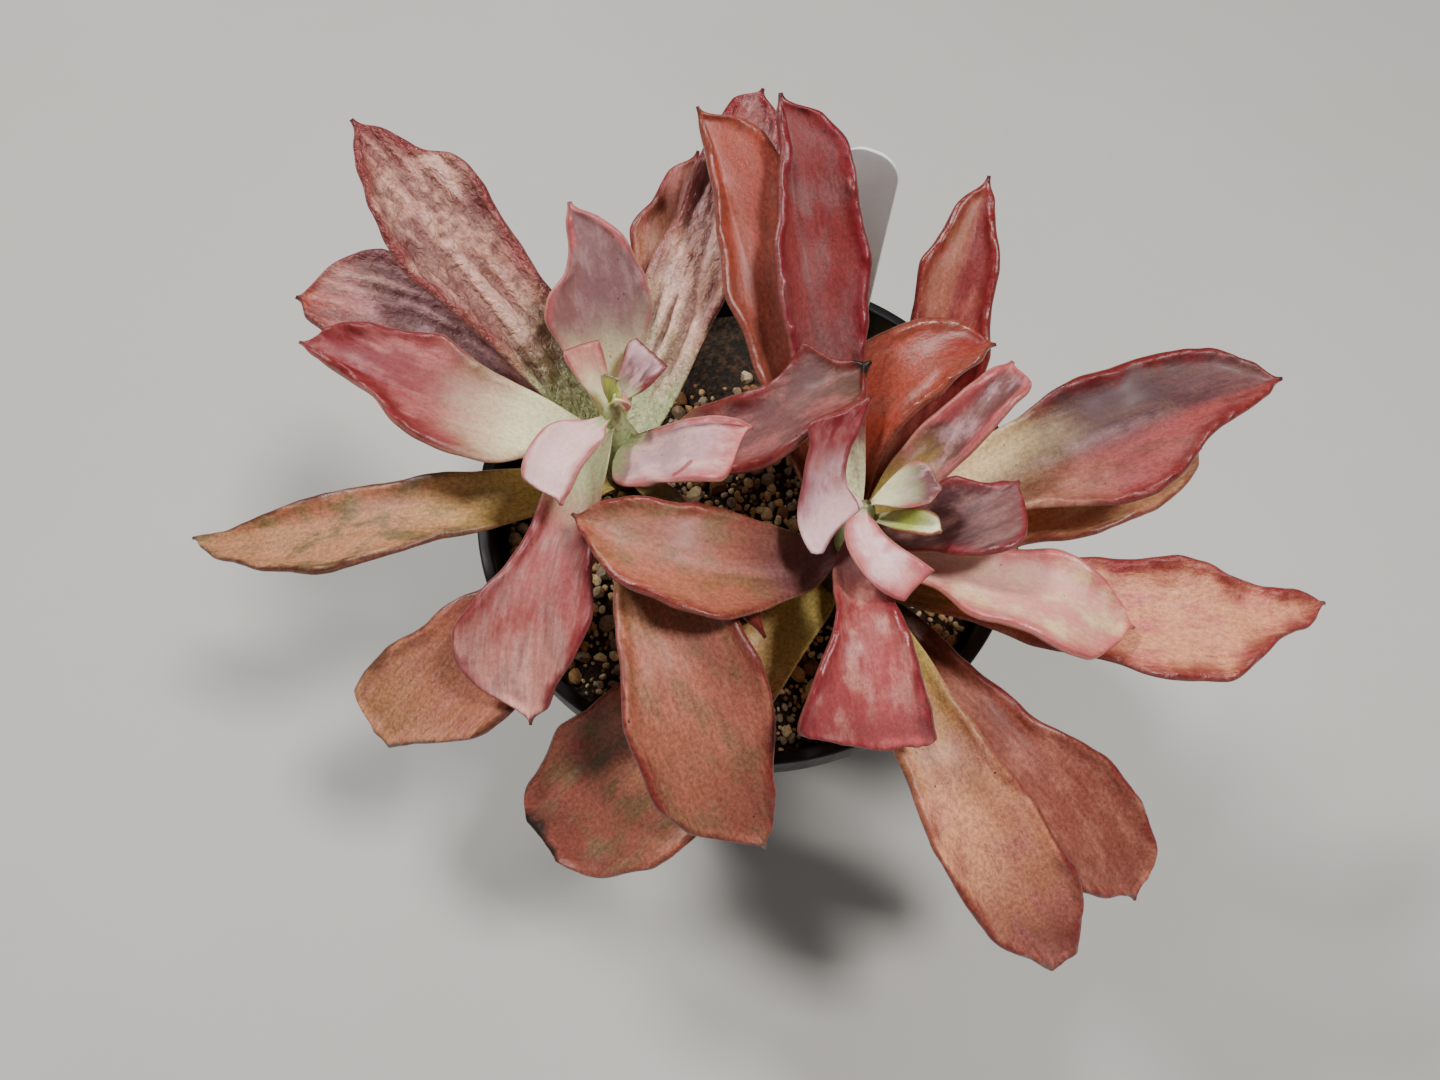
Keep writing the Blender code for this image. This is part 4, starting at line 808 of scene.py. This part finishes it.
    # The foot clasps the stem: its points are drawn onto it, and those behind them follow.
    climbed = leaf.climb * hump(along, 0.8 * leaf.climb + 1)
    back = leaf.sweep * np.maximum(x, 0) * (1 - eased(grown, 0.1, 0.9))
    forward = np.cross(side, up)
    for sheet_points in (upper, lower):
        sheet_points[..., 2] += climbed[:, None]
        sheet_points -= forward[:, None] * back[..., None]
        foot_row = sheet_points[0]
        axis = leaf.stem.at(foot_row[:, 2])
        outward = (foot_row - axis) * [1, 1, 0]
        distance = np.linalg.norm(outward, axis=1, keepdims=True)
        goal = np.maximum(leaf.stem.core(foot_row[:, 2]) - 0.8, 0.2)[:, None]
        pull = -outward / distance * np.maximum(distance - goal, 0)
        if leaf.sweep:
            pull *= hump(x[0], 2.5)[:, None]
        drawn = 2.2 + 1.3 * np.linalg.norm(pull, axis=1).mean()
        sheet_points += pull[None] * hump(along, drawn)[:, None, None]
    marks = {
        "place": np.stack([x, y, np.full(x.shape, seed)], axis=-1),
        "grown": grown,
        "side": across,
        "rim": nearest,
        "ridge": folds,
        "crest": crest,
        "scar": scar_marks(skin, x, y),
    }
    return upper, lower, marks


def scar_marks(skin, x, y):
    """How near each point is to a scar: 1 on it, falling to 0 beside it."""
    marks = np.zeros(x.shape)
    for x_from, y_from, x_to, y_to, half_width in skin.scars:
        run = np.array([x_to - x_from, y_to - y_from])
        part = np.clip(((x - x_from) * run[0] + (y - y_from) * run[1]) / (run @ run), 0, 1)
        far = np.hypot(x - x_from - part * run[0], y - y_from - part * run[1])
        marks = np.maximum(marks, hump(far, half_width))
    return marks


def leaf_mesh(leaf, seed):
    """One closed mesh of the two faces, which share their points along the margin and at the tip."""
    upper, lower, marks = leaf_sheets(leaf, seed)
    rows, columns = upper.shape[:2]
    top = np.arange(rows * columns).reshape(rows, columns)
    bottom = top.copy()
    inner = (slice(0, rows - 1), slice(1, columns - 1))
    bottom[inner] = rows * columns + np.arange((rows - 1) * (columns - 2)).reshape(rows - 1, columns - 2)
    points = np.concatenate([upper.reshape(-1, 3), lower[inner].reshape(-1, 3)])
    faces = []
    for row in range(rows - 1):
        for column in range(columns - 1):
            for grid, flip in ((top, True), (bottom, False)):
                a, b = grid[row, column], grid[row, column + 1]
                d, c = grid[row + 1, column], grid[row + 1, column + 1]
                faces.append((a, d, c, b) if flip else (a, b, c, d))
    for column in range(columns - 1):
        a, b = top[0, column], top[0, column + 1]
        faces.append((a, b, bottom[0, column + 1], bottom[0, column]))
    faces = [tuple(dict.fromkeys(int(i) for i in face)) for face in faces]
    mesh = mesh_of(leaf.name, points, faces)
    for name, values in marks.items():
        flat = [part.reshape(-1, *values.shape[2:]) for part in (values, values[inner])]
        mark_points(mesh, name, np.concatenate(flat))
    return mesh


def mesh_of(name, points, faces):
    """A smooth mesh from points in millimetres."""
    mesh = bpy.data.meshes.new(name)
    mesh.from_pydata((np.asarray(points) * MM).tolist(), [], faces)
    mesh.shade_smooth()
    return mesh


def mesh_from(work, name):
    """The mesh that was worked out in a bmesh."""
    mesh = bpy.data.meshes.new(name)
    work.to_mesh(mesh)
    work.free()
    return mesh


def sorted_mesh(work, name):
    """The same with its faces in a fixed order, since a spun form's faces come in another one each run."""
    work.verts.index_update()
    faces = []
    for face in work.faces:
        corners = [vertex.index for vertex in face.verts]
        first = corners.index(min(corners))
        faces.append(corners[first:] + corners[:first])
    mesh = bpy.data.meshes.new(name)
    mesh.from_pydata([vertex.co[:] for vertex in work.verts], [], sorted(faces))
    work.free()
    return mesh


def mark_points(mesh, name, values):
    """Gives each point a number, or three, that the material reads under the name."""
    kind, field = ("FLOAT_VECTOR", "vector") if values.ndim == 2 else ("FLOAT", "value")
    mesh.attributes.new(name, kind, "POINT").data.foreach_set(field, values.astype(np.float32).ravel())


def add_object(name, data):
    made = bpy.data.objects.new(name, data)
    bpy.context.scene.collection.objects.link(made)
    return made


def add_piece(name, mesh, material, slot, *nodes):
    """A piece of the object on its one body, standing for the named nodes."""
    piece = add_object(name, mesh)
    mesh.materials.append(material)
    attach(piece, "root")
    if nodes:
        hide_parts(*nodes)
    return piece


def make_leaves():
    for number, leaf in enumerate(LEFT_LEAVES + RIGHT_LEAVES):
        mesh = leaf_mesh(leaf, 10.0 * number)
        add_piece(leaf.name + "_skin", mesh, leaf_material(leaf), leaf.skin.slot, leaf.name)


def bark_material():
    shade = Shading("stem_bark", BARK_DARK)
    place = shade.object_place()
    height = shade.attribute("height")
    bark = shade.noise(place, (900, 900, 260), detail=6, roughness=0.65)
    blotch = shade.noise(place, 160, detail=3)
    shade.paint(BARK, bark, 0.35, 0.65)
    shade.paint(OLIVE, blotch, 0.45, 0.7, 0.0, 0.6)
    fresh = height + blotch * 12.0
    shade.paint(LEAF_GREEN, fresh, 158, 172)
    shade.paint(PALE_GREEN, fresh, 162, 180, 0.0, 0.9)
    shade.paint(OLIVE, shade.noise(place, 700, detail=4), 0.5, 0.7, 0.0, 0.5)
    return shade.done(bark, 0.5, Roughness=shade.ramp(bark, 0.3, 0.7, 0.9, 0.65))


def stem_mesh(name, stem, seed):
    """A stem with the ridged crescents that fallen leaves left, in a spiral up it."""
    sides, rows = STEM_SIDES, STEM_ROWS
    heights = np.linspace(stem.foot[2], stem.crown, rows)
    turns = np.linspace(0, 2 * math.pi, sides, endpoint=False)
    z, turn = np.meshgrid(heights, turns, indexing="ij")
    radius = stem.core(z)
    relief = 0.25 * noise_over(turn * STEM_RADIUS, z, 2.2, 6, seed)
    relief = relief + 0.12 * noise_over(turn * STEM_RADIUS, z, 0.8, 1.6, seed + 9)
    for number in range(int((TAPER_FROM - 4 - stem.foot[2]) / SCAR_RISE)):
        aside = (turn - GOLDEN_TURN * number - seed + math.pi) % (2 * math.pi) - math.pi
        x = aside * STEM_RADIUS / 3.6
        y = (z - stem.foot[2] - 2 - SCAR_RISE * number + 0.9 * x * x) / 1.1
        far = np.sqrt(x * x + y * y)
        relief += 0.38 * hump(far - 1.0, 0.3) - 0.3 * hump(far, 0.7)
    wrap = eased(z, stem.crown - 1.5, stem.crown)
    radius = (radius + relief * (1 - eased(z, HEART_FROM - 6, HEART_FROM + 8))) * (1 - 0.6 * wrap)
    out = np.stack([np.cos(turn), np.sin(turn), 0 * turn], axis=-1)
    points = stem.at(z) + out * radius[..., None]
    faces = []
    for row in range(rows - 1):
        for place in range(sides):
            a, b = row * sides + place, row * sides + (place + 1) % sides
            faces.append((a, b, b + sides, a + sides))
    faces.append(tuple(reversed(range(sides))))
    faces.append(tuple(range((rows - 1) * sides, rows * sides)))
    mesh = mesh_of(name, points.reshape(-1, 3), faces)
    mark_points(mesh, "height", z.ravel())
    return mesh


def make_stems():
    material = bark_material()
    for name, stem, seed in (("left_stem", LEFT_STEM, 1.7), ("right_stem", RIGHT_STEM, 4.2)):
        add_piece(name + "_bark", stem_mesh(name, stem, seed), material, "stem", name)


def wall_radius(height):
    """Outer radius of the pot's wall below its lip."""
    return BASE_RADIUS + (WALL_TOP_RADIUS - BASE_RADIUS) * height / (POT_HEIGHT - LIP_HEIGHT)


def plastic_material():
    shade = Shading("black_plastic", BLACK)
    place = shade.object_place()
    grain = shade.noise(place, 2600)
    smears = shade.noise(place, (60, 60, 18), detail=5, roughness=0.65, distortion=0.6)
    shade.paint(DUST, smears, 0.5, 0.8, 0.0, 0.35)
    matt = shade.ramp(smears, 0.3, 0.75, 0.34, 0.6)
    return shade.done(grain, 0.05, Roughness=matt, Specular_IOR_Level=0.5)


def make_pot():
    """The moulded pot, with its rounded lip, a fine step on its wall and the drainage holes."""
    lip_foot = POT_HEIGHT - LIP_HEIGHT
    profile = [
        (0, 0.6),
        (BASE_RADIUS - 8, 0.6),
        (BASE_RADIUS - 7, 0),
        (BASE_RADIUS - 1.4, 0),
        (BASE_RADIUS - 0.4, 0.4),
        (wall_radius(1.4), 1.4),
        (wall_radius(STEP_HEIGHT), STEP_HEIGHT),
        (wall_radius(STEP_HEIGHT) + STEP_DEPTH, STEP_HEIGHT + 0.6),
        (wall_radius(lip_foot - 9) + STEP_DEPTH, lip_foot - 9),
        (wall_radius(lip_foot - 8), lip_foot - 8),
        (wall_radius(lip_foot), lip_foot - 0.3),
        (WALL_TOP_RADIUS + 0.9, lip_foot),
    ]
    for centre_r, centre_z, start in (
        (RIM_RADIUS - LIP_ROUND, lip_foot + 0.2 + LIP_ROUND, -90),
        (RIM_RADIUS - LIP_ROUND, POT_HEIGHT - LIP_ROUND, 0),
        (RIM_BORE + LIP_ROUND, POT_HEIGHT - LIP_ROUND, 90),
    ):
        for step in range(5):
            turn = math.radians(start + 22.5 * step)
            profile.append((centre_r + LIP_ROUND * math.cos(turn), centre_z + LIP_ROUND * math.sin(turn)))
    profile += [(RIM_BORE + 0.1, lip_foot + 2), (RIM_BORE - 0.5, lip_foot + 0.5)]
    profile += [(wall_radius(lip_foot) - WALL, lip_foot - 1.5), (wall_radius(FLOOR) - WALL, FLOOR)]
    profile += [(0, FLOOR)]
    work = bmesh.new()
    line = [work.verts.new((radius * MM, 0, height * MM)) for radius, height in profile]
    edges = [work.edges.new(pair) for pair in zip(line, line[1:])]
    spin = dict(axis=(0, 0, 1), cent=(0, 0, 0), angle=2 * math.pi, steps=POT_SIDES, use_merge=True)
    bmesh.ops.spin(work, geom=line + edges, **spin)
    bmesh.ops.remove_doubles(work, verts=work.verts, dist=1e-7)
    bmesh.ops.recalc_face_normals(work, faces=work.faces)
    mesh = sorted_mesh(work, "pot")
    mesh.shade_smooth()
    mesh.set_sharp_from_angle(angle=math.radians(38))
    pot = add_piece("pot_shell", mesh, plastic_material(), "black_plastic", "pot")
    cutter = drain_cutter()
    holes = pot.modifiers.new("drain_holes", "BOOLEAN")
    holes.operation = "DIFFERENCE"
    holes.object = cutter
    bake_modifiers(pot)
    bpy.data.objects.remove(cutter)


def drain_cutter():
    """A round plug through each drainage hole, as one object."""
    work = bmesh.new()
    plug = dict(radius1=DRAIN_RADIUS * MM, radius2=DRAIN_RADIUS * MM, depth=10 * MM, segments=28)
    for number in range(DRAIN_HOLES):
        turn = 2 * math.pi * (number + DRAIN_TURN) / DRAIN_HOLES
        made = bmesh.ops.create_cone(work, cap_ends=True, **plug)
        bmesh.ops.translate(work, verts=made["verts"], vec=Vector(level(turn) * DRAIN_RING * MM))
    return add_object("drain_cutter", mesh_from(work, "drain_cutter"))


def bake_modifiers(obj):
    """Makes the object's evaluated mesh its own."""
    graph = bpy.context.evaluated_depsgraph_get()
    mesh = bpy.data.meshes.new_from_object(obj.evaluated_get(graph))
    obj.modifiers.clear()
    obj.data = mesh


def label_material():
    shade = Shading("white_label", LABEL_WHITE)
    place = shade.object_place()
    smudge = shade.noise(place, 90, detail=5, roughness=0.6)
    height = shade.attribute("height")
    shade.cover(LABEL_STAIN, shade.ramp(smudge, 0.4, 0.65) * shade.ramp(height, 20, 45, 0.9, 0.12))
    matt = shade.ramp(smudge, 0.3, 0.7, 0.3, 0.48)
    fine = shade.noise(place, 1500)
    return shade.done(fine, 0.03, Roughness=matt, Subsurface_Weight=0.1, Subsurface_Scale=1.0 * MM)


def make_label():
    """The blank strip, with softened edges and a rounded top, pointed in the soil."""
    half, corner = LABEL_WIDTH / 2, LABEL_CORNER
    outline = [(-half / 3, 0), (half / 3, 0), (half, LABEL_POINT)]
    outline += [(half, LABEL_LENGTH * part) for part in (0.3, 0.5, 0.7)]
    for centre, start in ((half - corner, 0), (corner - half, 90)):
        for step in range(9):
            turn = math.radians(start + 11.25 * step)
            height = LABEL_LENGTH - corner + corner * math.sin(turn)
            outline.append((centre + corner * math.cos(turn), height))
    outline += [(-half, LABEL_LENGTH * part) for part in (0.7, 0.5, 0.3)]
    outline.append((-half, LABEL_POINT))
    work = bmesh.new()
    face = work.faces.new([work.verts.new((x * MM, -LABEL_THICK / 2 * MM, z * MM)) for x, z in outline])
    grown = bmesh.ops.extrude_face_region(work, geom=[face])
    moved = [item for item in grown["geom"] if isinstance(item, bmesh.types.BMVert)]
    bmesh.ops.translate(work, verts=moved, vec=(0, LABEL_THICK * MM, 0))
    bmesh.ops.recalc_face_normals(work, faces=work.faces)
    border = [edge for edge in work.edges if edge.calc_face_angle(0) > math.radians(60)]
    bmesh.ops.bevel(work, geom=border, offset=0.3 * MM, segments=3, profile=0.5, affect="EDGES")
    mesh = mesh_from(work, "label")
    mark_points(mesh, "height", np.array([vertex.co.z / MM for vertex in mesh.vertices]))
    mesh.shade_smooth()
    mesh.set_sharp_from_angle(angle=math.radians(40))
    label = add_piece("label_strip", mesh, label_material(), "white_plastic", "plant_label")
    azimuth = math.radians(LABEL_AZIMUTH)
    label.location = Vector((*(level(azimuth) * LABEL_FOOT_RADIUS)[:2], LABEL_FOOT)) * MM
    label.rotation_euler = (-math.radians(LABEL_LEAN), 0, azimuth - math.pi / 2)


def soil_height(x, y):
    """Height of the substrate's surface under the grit."""
    return (
        SOIL_TOP + 1.0
        + 0.9 * noise_over(x, y, 16, 16, 50.5)
        + 0.5 * noise_over(x, y, 4, 4, 61.3)
        + 0.3 * noise_over(x, y, 1.6, 1.6, 72.9)
    )


def soil_material():
    shade = Shading("soil", PEAT)
    place = shade.object_place()
    crumbs = shade.noise(place, 420, detail=8, roughness=0.7)
    fibres = shade.cells(place, 700)
    shade.paint(PEAT_LIGHT, crumbs, 0.42, 0.66)
    return shade.done(crumbs + fibres, 1.0, Roughness=0.92)


def make_soil():
    """The substrate: a crumbly top on a plain body that fills the pot."""
    edge = wall_radius(SOIL_TOP) - WALL - SOIL_GAP
    rings, sides = SOIL_RINGS, SOIL_SIDES
    radii = edge * np.linspace(0.004, 1, rings)
    turns = np.linspace(0, 2 * math.pi, sides, endpoint=False)
    radius, turn = np.meshgrid(radii, turns, indexing="ij")
    x, y = radius * np.cos(turn), radius * np.sin(turn)
    points = np.stack([x, y, soil_height(x, y)], axis=-1).reshape(-1, 3)
    low = FLOOR + SOIL_GAP
    low_edge = wall_radius(low) - WALL - SOIL_GAP
    bottom = np.stack([low_edge * np.cos(turns), low_edge * np.sin(turns), 0 * turns + low], axis=-1)
    points = np.concatenate([points, bottom])
    faces = [tuple(range(sides))]
    for ring in range(rings):
        for place in range(sides):
            a, b = ring * sides + place, ring * sides + (place + 1) % sides
            faces.append((a, a + sides, b + sides, b))
    faces.append(tuple(reversed(range(rings * sides, (rings + 1) * sides))))
    mesh = mesh_of("soil", points, faces)
    add_piece("soil_body", mesh, soil_material(), "gritty_soil", "soil")


def grit_material():
    shade = Shading("grit", GRIT_TAN)
    place = shade.object_place()
    tint = shade.attribute("tint")
    mottle = shade.noise(place, 900, detail=5, roughness=0.65)
    shade.paint(GRIT_CREAM, tint, 0.1, 0.45)
    shade.paint(GRIT_GREY, tint, 0.55, 0.72)
    shade.paint(GRIT_BROWN, tint, 0.8, 0.9)
    shade.shadow(mottle, 0.3, 0.7, 0.6, 1.15)
    return shade.done(mottle, 0.25, Roughness=shade.ramp(mottle, 0.3, 0.7, 0.75, 0.5))


def crushed(ball, random):
    """A grain of crushed stone: a ball cut flat from several sides."""
    normals = unit(random.normal(size=(GRIT_SIDES, 3)))
    reach = random.uniform(0.62, 0.95, GRIT_SIDES)
    facing = ball @ normals.T
    cuts = np.where(facing > 0.05, reach / np.maximum(facing, 0.05), 2.0)
    return ball * np.minimum(cuts.min(axis=1), 1.08)[:, None]


def make_grit():
    """Loose grains of crushed stone on the substrate, as one mesh."""
    random = np.random.default_rng(GRIT_SEED)
    work = bmesh.new()
    bmesh.ops.create_icosphere(work, subdivisions=2, radius=1)
    ball = np.array([vertex.co for vertex in work.verts])
    triangles = np.array([[vertex.index for vertex in face.verts] for face in work.faces])
    work.free()
    edge = wall_radius(SOIL_TOP) - WALL
    places, sizes = [], []
    for _ in range(GRIT_TRIES):
        far, turn = (edge - 1.5) * math.sqrt(random.uniform()), random.uniform(0, 2 * math.pi)
        size = random.choice(GRIT_RADII, p=GRIT_SHARES)
        spot = np.array([far * math.cos(turn), far * math.sin(turn)])
        if far + size > edge - 0.3:
            continue
        # The grit has slid off one place, where the dark peat shows.
        bare = hump(np.hypot(*(spot - BARE_PLACE)), BARE_RADIUS)
        bare += 0.5 * noise.noise((spot[0] / 14, spot[1] / 14, 5.5))
        if random.uniform() < bare * 1.5:
            continue
        off_stems = [np.hypot(*(spot - stem.at(SOIL_TOP)[:2])) for stem in (LEFT_STEM, RIGHT_STEM)]
        if min(off_stems) < STEM_RADIUS + size:
            continue
        if places:
            gaps = np.linalg.norm(np.array(places) - spot, axis=1) - 0.72 * (np.array(sizes) + size)
            if gaps.min() < 0:
                continue
        places.append(spot)
        sizes.append(size)
    points, faces, tints = [], [], []
    for number, (spot, size) in enumerate(zip(places, sizes)):
        shape = crushed(ball, random) * random.uniform((0.9, 0.9, 0.7), (1.25, 1.25, 1.0))
        turned = shape @ np.array(Euler(random.uniform(0, math.pi, 3)).to_matrix())
        ground = soil_height(spot[:1], spot[1:])[0]
        centre = np.array([*spot, ground + 0.3 * size])
        faces.append(triangles + len(ball) * number)
        points.append(centre + turned * size)
        tints.append(np.full(len(ball), random.uniform()))
    mesh = mesh_of("grit", np.concatenate(points), np.concatenate(faces).tolist())
    mesh.set_sharp_from_angle(angle=math.radians(25))
    mark_points(mesh, "tint", np.concatenate(tints))
    add_piece("grit", mesh, grit_material(), "gritty_soil")


def make_floor():
    mesh = bpy.data.meshes.new("floor")
    corners = [(x * FLOOR_HALF, y * FLOOR_HALF, 0) for x, y in ((-1, -1), (1, -1), (1, 1), (-1, 1))]
    mesh.from_pydata(corners, [], [(0, 1, 2, 3)])
    floor = add_object("floor", mesh)
    shade = Shading("pale_floor", FLOOR_PALE)
    patchy = shade.noise(shade.object_place(), 3.0, detail=6, roughness=0.6)
    shade.paint(GRIT_GREY, patchy, 0.3, 0.7, 0.0, 0.12)
    shade.wired(shade.surface, "BSDF", Base_Color=shade.colour, Roughness=0.6)
    mesh.materials.append(shade.material)


def add_light(name, place, size, power, colour):
    """A square soft light, placed and aimed in millimetres."""
    light = bpy.data.lights.new(name, "AREA")
    light.shape = "SQUARE"
    light.size = size * MM
    light.energy = power
    light.color = colour
    lamp = add_object(name, light)
    lamp.location = Vector(place) * MM
    lamp.rotation_euler = (Vector(AIMED_AT) - Vector(place)).to_track_quat("-Z", "Y").to_euler()


def make_light():
    for light in LIGHTS:
        add_light(*light)
    world = bpy.data.worlds.new("studio")
    world.use_nodes = True
    background = world.node_tree.nodes["Background"]
    background.inputs["Color"].default_value = WORLD_COLOUR
    background.inputs["Strength"].default_value = WORLD_STRENGTH
    bpy.context.scene.world = world


def make_camera():
    camera = bpy.data.cameras.new("camera")
    camera.lens = CAMERA_LENS
    camera.sensor_width = CAMERA_SENSOR
    camera.sensor_fit = "HORIZONTAL"
    camera.clip_start = 0.01
    holder = add_object("camera", camera)
    holder.location = Vector(CAMERA_PLACE) * MM
    holder.rotation_euler = (math.radians(90 - CAMERA_DOWN), 0, 0)
    bpy.context.scene.camera = holder


make_leaves()
make_stems()
make_pot()
make_label()
make_soil()
make_grit()
make_floor()
make_light()
make_camera()
